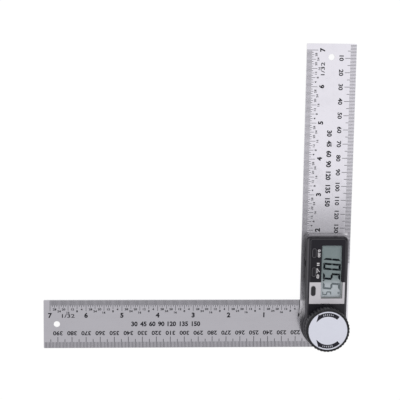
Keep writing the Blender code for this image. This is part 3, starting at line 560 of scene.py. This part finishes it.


# edge says where the colour is paler: painted highlights on the cover's rim and the knob's crests, and the
# power key's pale flange; gloss where the surface is polished
def mouldedPlastic(name, color, roughness, grain, depth, shine=0.5, edge=None, edgeColor=None, gloss=None):
    look = plasticLook
    f = Finish(name, Specular_IOR_Level=shine, Coat_Roughness=0.07)
    spark = f.noise((grain, grain, grain), 2, 0.6)
    cloud = f.noise((0.12, 0.12, 0.12), 3, 0.6)
    scuff = f.ease(f.noise((0.5, 4, 1), 2, turn=35), 0.66, 0.72)
    moulded = f.tint(color, 0.86 + spark * 0.2 + cloud * 0.12)
    base = f.mix(scuff * look["scuffShare"], moulded, look["scuffColor"])
    rough = roughness - 0.09 + spark * 0.10 + cloud * 0.10 - scuff * 0.08
    if edge:
        base = f.mix(edge(f) * (0.8 + spark * 0.3), base, edgeColor)
    if gloss:
        share = gloss(f)
        rough = rough + (1 - share) * look["unpolished"]
        f.feed(f.shader.inputs["Coat Weight"], share * shellGloss["coat"])
    return f.wear(base, rough, f.bump(spark, depth))


def reachOf(f):  # distance from the pivot's axis
    x, y = f.axis("X"), f.axis("Y")
    return f.add("ShaderNodeMath", {"operation": "SQRT"}, {0: x * x + y * y})


# painted highlights along the cover's rim and on its left wall beside the neck; the rim is also a little
# paler over the knob
coverEdge = {
    "color": (0.085, 0.082, 0.092),
    "rise": (13.6, 14.5),  # the painted highlight line starts on the wall and ends on the rim
    "side": ((13.5, 13.75), 0.7),  # where it is on the left and its share
    "inner": ((12.5, 13.0), 0.3),  # a faint step inside it
    "far": ((13.0, 13.3), 0.75),  # the right side's line is wider
    "end": (64.05, 64.35),  # at the upper end only the top of the rim has the painted highlight
    "endRise": (14.3, 14.7),
    "endShare": 0.25,
    "round": (15.0, 15.3),  # radius of the line round the knob's seat
    "neck": (7.0, 10.0),  # below this the outline follows the knob
    "wallX": (14, 14.4),  # painted highlight on the left wall beside the neck
    "wallY": (6, 12, 18.5, 22),
    "cornerX": (3, 8),  # and the rim is a little paler to the right over the knob
    "cornerY": (8, 12, 21, 23),
    "cornerShare": 0.2,
}


def rubbedRim(f):
    look = coverEdge
    x, y, z = f.axis("X"), f.axis("Y"), f.axis("Z")
    straight = f.ease(y, *look["neck"])
    (side, sideShare), (inner, innerShare), (far, farShare) = look["side"], look["inner"], look["far"]
    left = f.ease(0 - x, *side) * sideShare + f.ease(0 - x, *inner) * innerShare
    lines = (left + f.ease(x, *far) * farShare) * straight
    bulge = f.ease(reachOf(f), *look["round"]) * (1 - straight)
    end = f.ease(y, *look["end"])
    rise = f.ease(z, *look["rise"])
    rim = rise * (1 - (1 - lines) * (1 - bulge)) * (1 - end)
    wall = f.ease(0 - x, *look["wallX"]) * f.between(y, *look["wallY"]) * (1 - rise)
    corner = f.ease(x, *look["cornerX"]) * f.between(y, *look["cornerY"]) * (1 - rim)
    return rim + wall + corner * look["cornerShare"] + end * f.ease(z, *look["endRise"]) * look["endShare"]


shellGloss = {
    "coat": 0.45,
    "glossAndHighlightY": (4, 13),  # glossy beside the rule and dull round the pivot
    "lipY": (60, 62),  # and dull under the cover's end
    "lipZ": (9.8, 10.2),
}


def polishedEnd(f):
    lip = f.ease(f.axis("Z"), *shellGloss["lipZ"]) * f.ease(f.axis("Y"), *shellGloss["lipY"])
    return f.ease(f.axis("Y"), *shellGloss["glossAndHighlightY"]) * (1 - lip)


crestHighlightAndPaleFlange = {
    "knob": (15.38, 15.58),  # radius from which the ridges' crests have a painted highlight
    "crestHighlightShare": 0.6,
    "crestHighlightColor": (0.05, 0.05, 0.055),
    "keyFoot": (14.98, 15.06),  # under this height the power key's flange is pale
    "keyColor": (0.40, 0.385, 0.41),
}


def rubbedRidges(f):
    return f.ease(reachOf(f), *crestHighlightAndPaleFlange["knob"]) * crestHighlightAndPaleFlange["crestHighlightShare"]


def paleFlange(f):
    return 1 - f.ease(f.axis("Z"), *crestHighlightAndPaleFlange["keyFoot"])


look = plasticLook
basePlastic = mouldedPlastic("glossyPlastic", *look["shell"], gloss=polishedEnd)
trayPlastic = mouldedPlastic("trayPlastic", *look["tray"], gloss=polishedEnd)
coverPlastic = mouldedPlastic("coverPlastic", *look["cover"], edge=rubbedRim, edgeColor=coverEdge["color"])
knobPlastic = mouldedPlastic("knobPlastic", *look["knob"], edge=rubbedRidges, edgeColor=crestHighlightAndPaleFlange["crestHighlightColor"])
keyRubber = mouldedPlastic("keyRubber", *look["rubber"], edge=paleFlange, edgeColor=crestHighlightAndPaleFlange["keyColor"])
keyBlack = mouldedPlastic("keyBlack", *look["key"])
dress(["base_shell"], basePlastic)
dress(["top_shell"], coverPlastic)
dress(["battery_tray"], trayPlastic)
dress(["lock_knob"], knobPlastic)
dress(["key_power"], keyRubber)
dress(["key_zero", "key_hold"], keyBlack)
soften(["base_shell"], bevel=0.12)
soften(["top_shell", "lock_knob", "key_zero", "key_hold", "key_power"])
soften(["battery_tray"], bevel=0.08)


panelLook = {
    "black": (0.0088, 0.0080, 0.0125),
    "grey": (0.56, 0.54, 0.575),
    "greyLeft": (-12.56, -12.44),
    "greyTop": (32.69, 32.81),  # the light foot starts here and runs down to the knob
    "speckColor": (0.1, 0.1, 0.1),
    "speckShare": 0.15,
}


def panelFinish():
    look = panelLook
    f = Finish("panelPrint", Specular_IOR_Level=0.2)
    film = f.noise((6, 6, 6), 3, 0.6)
    cloud = f.noise((0.15, 0.15, 0.15), 2)
    speck = f.ease(f.noise((4, 4, 4), 1), 0.72, 0.76)
    foot = (1 - f.ease(f.axis("Y"), *look["greyTop"])) * f.ease(f.axis("X"), *look["greyLeft"])
    black = f.mix(speck * look["speckShare"], f.tint(look["black"], 0.85 + film * 0.3), look["speckColor"])
    grey = f.tint(look["grey"], 0.92 + film * 0.08 + cloud * 0.08)
    rough = 0.26 + film * 0.12 + cloud * 0.08 + foot * 0.08
    return f.wear(f.mix(foot, black, grey), rough, f.bump(film, 0.005))


dress(["face_panel"], panelFinish())
soften(["face_panel"])
panelTop = topOf("face_panel")

# the finger notch in the tray's face: a flat dark sheet, painted shade standing for a hollow, inside a low
# rim
notchLook = {
    "centre": (45.2, 8.0),  # Y and Z
    "hollow": (4.3, 3.1),
    "rim": (4.8, 3.6),
    "proud": 0.12,
    "shadeProud": 0.015,
    "sunk": 0.05,
    "color": (0.004, 0.004, 0.005),
}


def notchOutline(size):
    return rounded(notchLook["centre"], *size, size[1] / 2 - 0.01)


def notchFinish():
    f = Finish("notchShade", Specular_IOR_Level=0.0)
    pits = f.noise((6, 6, 6), 2)
    return f.wear(f.tint(notchLook["color"], 0.7 + pits * 0.6), 0.9, f.bump(pits, 0.01))


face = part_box("battery_tray")[0].x
sunk, hollow = -notchLook["sunk"], notchOutline(notchLook["hollow"])
build = bmesh.new()
slab(build, hollow, sunk, notchLook["shadeProud"])
turnToSide(build, face)
addPiece("tray_finger_shade", build, notchFinish(), "tray")
build = bmesh.new()
ringSlab(build, notchOutline(notchLook["rim"]), hollow, sunk, notchLook["proud"])
turnToSide(build, face)
addPiece("tray_finger_rim", build, trayPlastic, "tray")
print("housing finished")

# printed marks on the panel and round the keys, with painted shade along the window's walls and a painted
# highlight along the panel's edge
markLook = {
    "keys": {"key_zero": "zero_button", "key_hold": "hold_button"},  # keys with a printed line round them
    "keyInset": 0.85,  # from the key's flange to the line on its top
    "keyLine": 0.25,
    "edge": (-12.5, 12.8, 32.75, 63.9),  # the painted highlight along the black print's cut edge: both X, both Y
    "edgeCorner": 1.6,
    "edgeLine": 0.32,
    "farWall": (10.6, 11.08),  # X of the painted shade of the window's right wall
    "footWall": (21.1, 21.72),  # Y of the one at its foot
    "wallTop": 33.1,
    "shade": (9.97, 10.61),  # X of the shaded strip before the right wall
    "foot": (-4.1, 21.7, 9.97, 22.12),  # shaded strip over the wall at the foot: X, Y, X, Y
    "dots": (5, -3.7, 1.7, 17.35),  # dots by the knob: how many, both X and their Y
    "dotReach": (0.22, 0.2, 0.25),  # to each side, down and up
    "greyColor": (0.13, 0.125, 0.14),
    "edgeColor": (0.075, 0.073, 0.081),
    "shadeLineAndDotColor": (0.022, 0.024, 0.028),
    "shadeColor": (0.29, 0.31, 0.32),
}
greyInk = inkFinish("greyInk", markLook["greyColor"], 0.45)
edgeHighlightInk = inkFinish("edgeHighlightInk", markLook["edgeColor"], 0.4)
shadeLineAndDotInk = inkFinish("shadeLineAndDotInk", markLook["shadeLineAndDotColor"], 0.45)
shadeInk = inkFinish("shadeInk", markLook["shadeColor"], 0.45)

for key, body in markLook["keys"].items():
    lowCorner, highCorner = [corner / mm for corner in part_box(key)]
    width, length = [size - 2 * markLook["keyInset"] for size in (highCorner - lowCorner)[:2]]
    centre = ((lowCorner.x + highCorner.x) / 2, (lowCorner.y + highCorner.y) / 2)
    low, high = inkLevels(highCorner.z, ink["panelProud"])
    build = bmesh.new()
    frameSlab(build, centre, width, length, width / 2 - 0.02, markLook["keyLine"], low, high)
    addPiece(key + "_frame", build, greyInk, body)

low, high = inkLevels(panelTop, ink["panelProud"])
under = high - 0.005  # lies under the dark lines
# a pale line painted as the highlight on the panel's bevelled edge
build = bmesh.new()
hoop(build, *markLook["edge"], markLook["edgeCorner"], markLook["edgeLine"], low, under)
addPiece("panel_edge_highlight", build, edgeHighlightInk, "display_arm")

# dark lines painted as the shade of the window's right wall and its foot, and the printed dots by the knob
build = bmesh.new()
(x0, x1), (y0, y1), wallTop = markLook["farWall"], markLook["footWall"], markLook["wallTop"]
slab(build, bar(x0, y0, x1, wallTop), low, high)
slab(build, bar(markLook["foot"][0], y0, x0 + 0.01, y1), low, high)
count, x0, x1, y = markLook["dots"]
side, down, rise = markLook["dotReach"]
for i in range(count):
    x = x0 + (x1 - x0) * i / (count - 1)
    slab(build, bar(x - side, y - down, x + side, y + rise), low, high)
addPiece("window_shade_lines_and_dots", build, shadeLineAndDotInk, "display_arm")
build = bmesh.new()
x0, x1 = markLook["shade"]
slab(build, bar(x0, markLook["foot"][3], x1, wallTop), low, under)
addPiece("window_wall_shade", build, shadeInk, "display_arm")

# beside the upper key a plain 0.00, beside the next one a pause sign and an angle sign
signLook = {
    "nought": ("0.00", (-6.2, 53.6), 1.9, -90, 1.25, 0.04),  # text, centre, height, turn, width and weight
    "middle": -6.75,  # X of the signs beside the lower key
    "pauseY": (46.5, 45.2),
    "pauseReach": (0.9, 0.28),
    "angle": ((-0.9, 43.2), (-0.9, 39.4), (-0.5, 39.4), (-0.5, 42.4), (0.9, 40.2), (1.15, 40.55)),
    "ring": (37.0, 1.7, 2.9, 0.8, 0.32),  # Y, width, length, corner and line
    "ringBar": (0.16, 36.1, 37.9),
    "color": (0.76, 0.74, 0.77),
}
whiteInk = inkFinish("whiteInk", signLook["color"], 0.45)
build = bmesh.new()
stamp(build, *signLook["nought"], low, high)
middle, (across, along) = signLook["middle"], signLook["pauseReach"]
for y in signLook["pauseY"]:
    slab(build, bar(middle - across, y - along, middle + across, y + along), low, high)
slab(build, [(middle + x, y) for x, y in signLook["angle"]], low, high)
y, *frameShape = signLook["ring"]
frameSlab(build, (middle, y), *frameShape, low, high)
across, y0, y1 = signLook["ringBar"]
slab(build, bar(middle - across, y0, middle + across, y1), low, high)
addPiece("panel_signs", build, whiteInk, "display_arm")


displayLook = {
    "topColor": (0.278, 0.335, 0.345),
    "footColor": (0.605, 0.655, 0.70),
    "topY": 36.5,  # the lighter foot starts under this line
    "footY": 30.0,
    "baseX": -2.85,  # feet of the digits, whose tops point to +X
    "digit": (5.05, 12.4, 1.5),  # width, height and stroke
    "slant": 1.0,
    "cells": ((53.8, "bc"), (46.75, "abcdef"), (39.7, "acdfg")),  # start in Y and lit bars
    "dot": (-2.85, 33.3, -1.8, 34.35),
    "faintCell": (32.75, "acdfg"),
    "faintStroke": 1.4,
    "smallCell": (25.95, "acdfg"),
    "smallDigit": (2.6, 6.3, 0.7),
    "smallBaseX": -2.95,
    "smallSlant": 0.15,
    "degree": ((8.0, 24.2, 9.3, 25.5), (8.4, 24.6, 8.9, 25.1)),  # outer and inner edge of the little ring
    "sunk": 0.005,
    "proud": 0.02,
    "litColor": (0.003, 0.006, 0.009),
    "faintColor": (0.16, 0.19, 0.21),
}


def displayFinish():
    look = displayLook
    f = Finish("displayGlass", Specular_IOR_Level=0.1)
    grain = f.noise((7, 7, 7), 2, 0.6)
    cloud = f.noise((0.12, 0.12, 0.12), 2)
    rise = f.ease(f.axis("Y") + cloud - 0.5, look["footY"], look["topY"])
    color = f.tint(f.mix(rise, look["footColor"], look["topColor"]), 0.93 + grain * 0.06 + cloud * 0.08)
    return f.wear(color, 0.30 + grain * 0.08, f.bump(grain, 0.002))


dress(["lcd_module"], displayFinish())
soften(["lcd_module"])


def digit(build, headY, segments, width, height, stroke, baseX, slant, low, high):
    # seven bars; the digit's foot is at baseX, its left side at headY, and it reads toward -Y
    gap, split = stroke * 0.06, stroke * 0.10  # between bars at a corner, and beside the middle bar
    mid, half = height / 2, stroke / 2
    tip = mid + split + stroke * 0.3
    right = width - stroke - gap
    shapes = {
        "a": [(gap, height), (width - gap, height),
              (right, height - stroke), (stroke + gap, height - stroke)],
        "f": [(0, height - gap), (stroke, height - stroke - gap), (stroke, tip),
              (stroke * 0.7, mid + split), (0, mid + split)],
        "g": [(half + gap, mid), (stroke + gap, mid + half), (right, mid + half),
              (width - half - gap, mid), (right, mid - half), (stroke + gap, mid - half)],
    }

    def over(shape):  # mirrored top to bottom
        return [(across, height - up) for across, up in reversed(shape)]

    shapes["b"] = [(width - across, up) for across, up in reversed(shapes["f"])]
    shapes["d"], shapes["e"], shapes["c"] = over(shapes["a"]), over(shapes["f"]), over(shapes["b"])
    for letter in segments:
        outline = [(baseX + up, headY - across - slant * (up / height)) for across, up in shapes[letter]]
        slab(build, outline, low, high)


lcdTop = topOf("lcd_module")
look = displayLook
low, high = lcdTop - look["sunk"], lcdTop + look["proud"]
darkSegment = inkFinish("darkSegment", look["litColor"], 0.4, 0.05)
faintSegment = inkFinish("faintSegment", look["faintColor"], 0.4)
width, height, stroke = look["digit"]
build = bmesh.new()
for headY, segments in look["cells"]:
    digit(build, headY, segments, width, height, stroke, look["baseX"], look["slant"], low, high)
slab(build, bar(*look["dot"]), low, high)
addPiece("display_digits", build, darkSegment, "display_arm")
build = bmesh.new()
digit(build, *look["faintCell"], width, height, look["faintStroke"], look["baseX"], look["slant"], low, high)
digit(build, *look["smallCell"], *look["smallDigit"], look["smallBaseX"], look["smallSlant"], low, high)
outer, inner = look["degree"]
ringSlab(build, bar(*outer), bar(*inner), low, high)
addPiece("display_digits_faint", build, faintSegment, "display_arm")
build = bmesh.new()
slab(build, bar(*markLook["foot"]), *inkLevels(panelTop))
addPiece("window_foot_shade", build, shadeInk, "display_arm")

# clear window: light passes to the display in straight lines
windowLook = {
    "color": (0.02, 0.022, 0.022),
    "roughness": 0.03,
    "smudge": (0.45, 0.8),  # from where in the noise a smudge shows
    "cover": 0.02,  # share that hides the display, seen from above
    "grazing": 0.6,  # and what a low angle adds
}


def windowFinish():
    look = windowLook
    f = Finish("windowClear", Base_Color=look["color"], Specular_IOR_Level=0.6)
    smudge = f.ease(f.noise((0.35, 0.2, 0.3), 3, 0.6), *look["smudge"])
    grazing = f.add("ShaderNodeLayerWeight", None, {"Blend": 0.3}, 1)
    f.feed(f.shader.inputs["Alpha"], look["cover"] + smudge * 0.02 + grazing * look["grazing"])
    return f.wear(roughness=look["roughness"] + smudge * 0.08)


dress(["display_window"], windowFinish())
soften(["display_window"], bevel=0.08)
print("display finished")


discLook = {
    "color": (0.69, 0.70, 0.79),
    "radius": 13.8,
    "top": 24.165,
    "rim": 0.08,  # cut off its edge
    "steps": 128,
    "band": (10.15, 12.88),  # inner and outer radius of the arrows
    "barb": 13.5,  # radius of the head's outer corner
    "barbBack": 2.5,  # degrees beyond the neck
    "tip": 10.4,
    "tipBack": 4,  # degrees before the point where the inner edge ends
    "arrows": ((1, 51.5, 118.5, 144.0), (-1, 47.0, 116.5, 141.0)),  # side, tail, neck and point in degrees
    "arrowSteps": 22,
    "bars": (6, 73.5, 6.6),  # how many, where they start and their step
    "barReach": (0.42, 0.07),  # half length of the shortest and what each next one adds
    "barHalf": 0.24,
    "barLevels": (0.005, 0.018),  # over the disc
    "arrowColor": (0.016, 0.015, 0.022),
    "barColor": (0.46, 0.47, 0.53),
}


def lathedLines(f, reach, perMm):
    inputs = {"W": reach * perMm, "Scale": 1, "Detail": 3}
    return f.add("ShaderNodeTexNoise", {"noise_dimensions": "1D"}, inputs)


def discFinish():
    f = Finish("discSilver", Metallic=0.55)
    spun = lathedLines(f, reachOf(f), 7)
    mottle = f.noise((4, 4, 4), 3, 0.7)
    cloud = f.noise((0.1, 0.1, 0.1), 2)
    hair = f.ease(f.noise((0.2, 7, 1), 1, turn=62), 0.71, 0.74)
    tone = 0.93 + spun * 0.05 + mottle * 0.05 + cloud * 0.05 - hair * 0.06
    rough = 0.34 + spun * 0.06 + mottle * 0.06 + hair * 0.1
    return f.wear(f.tint(discLook["color"], tone), rough, f.bump(spun + mottle, 0.003))


def turnedSkin(build, profile, steps, shape=None):  # shape changes the radius along the turn
    rings = []
    for radius, z in profile:
        ring = []
        for i in range(steps):
            turn = 2 * math.pi * i / steps
            reach = shape(radius, turn) if shape else radius
            ring.append(build.verts.new((reach * math.cos(turn) * mm, reach * math.sin(turn) * mm, z * mm)))
        rings.append(ring)
    for a, b in zip(rings, rings[1:]):
        for i in range(steps):
            j = (i + 1) % steps
            build.faces.new((a[i], a[j], b[j], b[i]))
    return rings


def smoothed(piece):
    for polygon in piece.data.polygons:
        polygon.use_smooth = True
    piece.data.set_sharp_from_angle(angle=math.radians(softLook["turnedAngle"]))


discTop, radius, rim = discLook["top"], discLook["radius"], discLook["rim"]
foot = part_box("knob_disc")[0].z / mm
build = bmesh.new()
profile = [(radius, foot), (radius, discTop - rim), (radius - rim, discTop)]
rings = turnedSkin(build, profile, discLook["steps"])
build.faces.new(rings[-1])
build.faces.new(reversed(rings[0]))
disc = addPiece("disc_plate", build, discFinish(), "knob")
smoothed(disc)
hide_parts("knob_disc")

gripLook = {
    "ridges": 39,
    "steps": 10,  # faces round each ridge
    "depth": 0.31,
    "crest": 1.6,  # over 1 makes the crests wider than the grooves
    "turn": 14,  # degrees of one ridge's wave by which the grooves lead
    "profile": ((14.95, 15.36), (15.45, 15.8), (15.62, 16.3), (15.62, 23.55), (15.5, 23.9), (15.2, 24.12),
                (14.7, 24.18), (14.15, 24.15), (14.0, 24.05), (14.0, 15.36)),  # radius and height
    "ridgedFrom": (15.1, 0.4),  # radius where the ridges start and over how far they deepen
}


def ridged(radius, turn):
    look = gripLook
    start, run = look["ridgedFrom"]
    share = max(0, min(1, (radius - start) / run))
    wave = 0.5 + 0.5 * math.cos(turn * look["ridges"] - math.radians(look["turn"]))
    return radius - look["depth"] * share * wave ** look["crest"]


build = bmesh.new()
profile = gripLook["profile"]
turnedSkin(build, profile + profile[:1], gripLook["ridges"] * gripLook["steps"], ridged)
grip = addPiece("knob_grip", build, knobPlastic, "knob")
smoothed(grip)


def arrow(build, side, tail, neck, point, low, high):  # a curved arrow on one half of the disc
    look = discLook
    inner, outer = look["band"]

    def polar(radius, angle):
        turn = math.radians(angle)
        return (radius * math.cos(turn), side * radius * math.sin(turn))

    steps = look["arrowSteps"]
    arc = [polar(outer, tail + (neck - tail) * i / steps) for i in range(steps + 1)]
    head = [polar(look["barb"], neck + look["barbBack"]), polar(look["tip"], point)]
    start = point - look["tipBack"]
    back = [polar(inner, start + (tail - start) * i / steps) for i in range(steps + 1)]
    slab(build, arc + head + back, low, high)


arrowInk = inkFinish("arrowInk", discLook["arrowColor"], 0.45)
build = bmesh.new()
for side, tail, neck, point in discLook["arrows"]:
    arrow(build, side, tail, neck, point, *inkLevels(discTop))
addPiece("disc_arrows", build, arrowInk, "knob")

# bars that grow toward the head on one arrow and shrink on the other
arrowBarInk = inkFinish("arrowBarInk", discLook["barColor"], 0.45)
build = bmesh.new()
middle = sum(discLook["band"]) / 2
count, first, step = discLook["bars"]
shortest, growth = discLook["barReach"]
low, high = [discTop + level for level in discLook["barLevels"]]
for side in (1, -1):
    for i in range(count):
        angle = math.radians(first + i * step)
        reach = shortest + growth * (i if side == 1 else count - 1 - i)
        points = []
        for along, across in bar(-reach, -discLook["barHalf"], reach, discLook["barHalf"]):
            radius = middle + along
            points.append((radius * math.cos(angle) - across * math.sin(angle),
                           side * (radius * math.sin(angle) + across * math.cos(angle))))
        slab(build, points, low, high)
addPiece("disc_arrow_bars", build, arrowBarInk, "knob")
print("knob finished")


def turnedMetal(name, color, roughness, rings=5.0, tarnish=None):  # lines round the middle of the node's box
    f = Finish(name + "_turned", Metallic=1)
    low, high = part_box(name)
    x, y = f.axis("X") - (low.x + high.x) / 2 / mm, f.axis("Y") - (low.y + high.y) / 2 / mm
    reach = f.add("ShaderNodeMath", {"operation": "SQRT"}, {0: x * x + y * y})
    lathe = lathedLines(f, reach, rings)
    mottle = f.noise((3, 3, 3), 3, 0.7)
    cloud = f.noise((0.3, 0.3, 0.3), 3)
    tone = 0.9 + lathe * 0.1 + mottle * 0.08
    base = f.tint(color, tone)
    if tarnish:
        base = f.mix(f.ease(cloud, 0.5, 0.75) * 0.5, base, tarnish)
    return f.wear(base, roughness - 0.05 + lathe * 0.08 + mottle * 0.06, f.bump(lathe + mottle * 0.4, 0.006))


screws = [f"shell_screw_{i}" for i in range(1, 5)] + [f"hub_screw_{i}" for i in range(1, 4)]
contacts = ["contact_positive", "contact_negative", "dome_zero", "dome_hold", "dome_power"]
metals = {
    "steel": ((0.60, 0.60, 0.62), 0.26),  # colour and roughness, then lines per mm and tarnish
    "screw": ((0.50, 0.50, 0.52), 0.30, 2.0),
    "brass": ((0.72, 0.50, 0.20), 0.28, 5.0, (0.40, 0.24, 0.10)),
    "nickel": ((0.66, 0.66, 0.66), 0.24, 2.0),
}
for metal, names in (
    ("steel", ["pivot_bolt", "thrust_washer", "swing_hub"]),
    ("screw", screws),
    ("brass", ["bearing_bush", "knob_insert"]),
    ("nickel", ["coin_cell"] + contacts),
):
    for name in names:
        dress([name], turnedMetal(name, *metals[metal]))

dress(["rear_washer", "friction_ring"], mouldedPlastic("naturalNylon", *plasticLook["nylon"]))

boardLook = {
    "lacquer": (0.015, 0.13, 0.055),
    "track": (0.05, 0.30, 0.12),
    "boardTraces": 0.6,  # per mm
    "rotorTraces": 0.9,
}


def boardFinish(name, traces):
    f = Finish(name, Specular_IOR_Level=0.5)
    weave = f.add("ShaderNodeTexChecker", None, {"Vector": f.place((3, 3, 3)), "Scale": 1}, 1)
    inputs = {"Vector": f.place((traces, traces, traces)), "Scale": 1, "Mortar Size": 0.045, "Bias": 0}
    track = f.add("ShaderNodeTexBrick", None, inputs, 1)
    fine = f.noise((5, 5, 5), 2)
    green = f.tint(boardLook["lacquer"], 0.8 + fine * 0.3 + weave * 0.06)
    color = f.mix(track * 0.8, green, boardLook["track"])
    return f.wear(color, 0.35 + fine * 0.12, f.bump(track + fine * 0.2, 0.02))


dress(["circuit_board"], boardFinish("boardLacquer", boardLook["boardTraces"]))
dress(["encoder_rotor"], boardFinish("rotorLacquer", boardLook["rotorTraces"]))

stripLook = {"silicone": (0.62, 0.34, 0.40), "carbon": (0.09, 0.08, 0.09), "bandScale": 1.2}


def stripFinish():
    look = stripLook
    f = Finish("bandedStrip", Specular_IOR_Level=0.3)
    inputs = {"Vector": f.place(), "Scale": look["bandScale"], "Distortion": 0}
    bands = f.add("ShaderNodeTexWave", {"bands_direction": "Y"}, inputs)
    soft = f.noise((6, 6, 6), 2)
    color = f.tint(f.mix(bands, look["silicone"], look["carbon"]), 0.85 + soft * 0.3)
    return f.wear(color, 0.62 + soft * 0.12, f.bump(soft, 0.01))


dress(["elastomer_strip_left", "elastomer_strip_right"], stripFinish())
soften(["pivot_bolt", "thrust_washer", "swing_hub", "bearing_bush", "knob_insert", "coin_cell", "rear_washer",
        "friction_ring", "circuit_board", "encoder_rotor", "elastomer_strip_left", "elastomer_strip_right"]
       + screws + contacts)
print("inner parts finished")


# studio, in metres
studio = {
    "dome": 0.775,  # even light from all round
    "panelEdge": -0.027,  # near edge of the soft panel over the display rule
    "panelX": 0.1,
    "panelHeight": 0.70,
    "panelSize": (1.3, 0.9),
    "panelPower": 2.4,
    "floorSize": 30.0,
    "floorGap": 0.0002,  # under the tool
    "floorColor": (0.9, 0.9, 0.9),
    "floorWhite": 0.85,  # share of the floor that shows as plain white
    "whiteLevel": 1.06,
}


def floorFinish():
    f = Finish("paleFloor", Base_Color=studio["floorColor"], Roughness=0.8)
    rayKinds = ("Is Camera Ray", "Is Glossy Ray", "Is Transmission Ray")
    rays = [f.add("ShaderNodeLightPath", output=name) for name in rayKinds]
    seen = f.add("ShaderNodeMath", {"operation": "MINIMUM"}, {0: rays[0] + rays[1] + rays[2], 1: 1.0})
    white = f.add("ShaderNodeEmission", None, {"Color": (1, 1, 1), "Strength": studio["whiteLevel"]})
    base = Sock(f, f.shader.outputs[0])
    both = f.add("ShaderNodeMixShader", None, {0: seen * studio["floorWhite"], 1: base, 2: white})
    f.feed(f.tree.nodes["Material Output"].inputs["Surface"], both)
    return f.material


build = bmesh.new()
bmesh.ops.create_grid(build, x_segments=4, y_segments=4, size=studio["floorSize"])
floorMesh = bpy.data.meshes.new("floor")
build.to_mesh(floorMesh)
build.free()
floorMesh.materials.append(floorFinish())
floor = bpy.data.objects.new("floor", floorMesh)
floor.location.z = -studio["floorGap"]
scene.collection.objects.link(floor)

world = bpy.data.worlds.new("studioWorld")
scene.world = world
world.use_nodes = True
light = world.node_tree.nodes["Background"]
light.inputs["Color"].default_value = (1, 1, 1, 1)
light.inputs["Strength"].default_value = studio["dome"]

# one wide panel overhead, looking straight down
panel = bpy.data.lights.new("overheadPanel", "AREA")
panel.shape = "RECTANGLE"
panel.size, panel.size_y = studio["panelSize"]
panel.energy = studio["panelPower"]
panelHolder = bpy.data.objects.new("overheadPanel", panel)
panelY = studio["panelEdge"] + studio["panelSize"][1] / 2
panelHolder.location = (studio["panelX"], panelY, studio["panelHeight"])
panelHolder.visible_camera = False
scene.collection.objects.link(panelHolder)

# pose worked out from the tick places of both scales
cameraLook = {
    "lens": 109.47,
    "sensor": 36,
    "clip": (0.01, 20),
    "place": (-0.14906, 0.22281, 0.84717),
    "right": (0.99762307, 0.0141826, 0.06743189),
    "up": (-0.00348611, 0.9877244, -0.15616771),
    "back": (-0.06881899, 0.15556144, 0.98542609),
}
camera = bpy.data.cameras.new("camera")
camera.lens = cameraLook["lens"]
camera.sensor_width = cameraLook["sensor"]
camera.clip_start, camera.clip_end = cameraLook["clip"]
cameraHolder = bpy.data.objects.new("camera", camera)
turn = Matrix([cameraLook[way] for way in ("right", "up", "back")]).transposed().to_4x4()
cameraHolder.matrix_world = Matrix.Translation(cameraLook["place"]) @ turn
scene.collection.objects.link(cameraHolder)
scene.camera = cameraHolder
scene.view_settings.view_transform = "Standard"
print("studio ready")
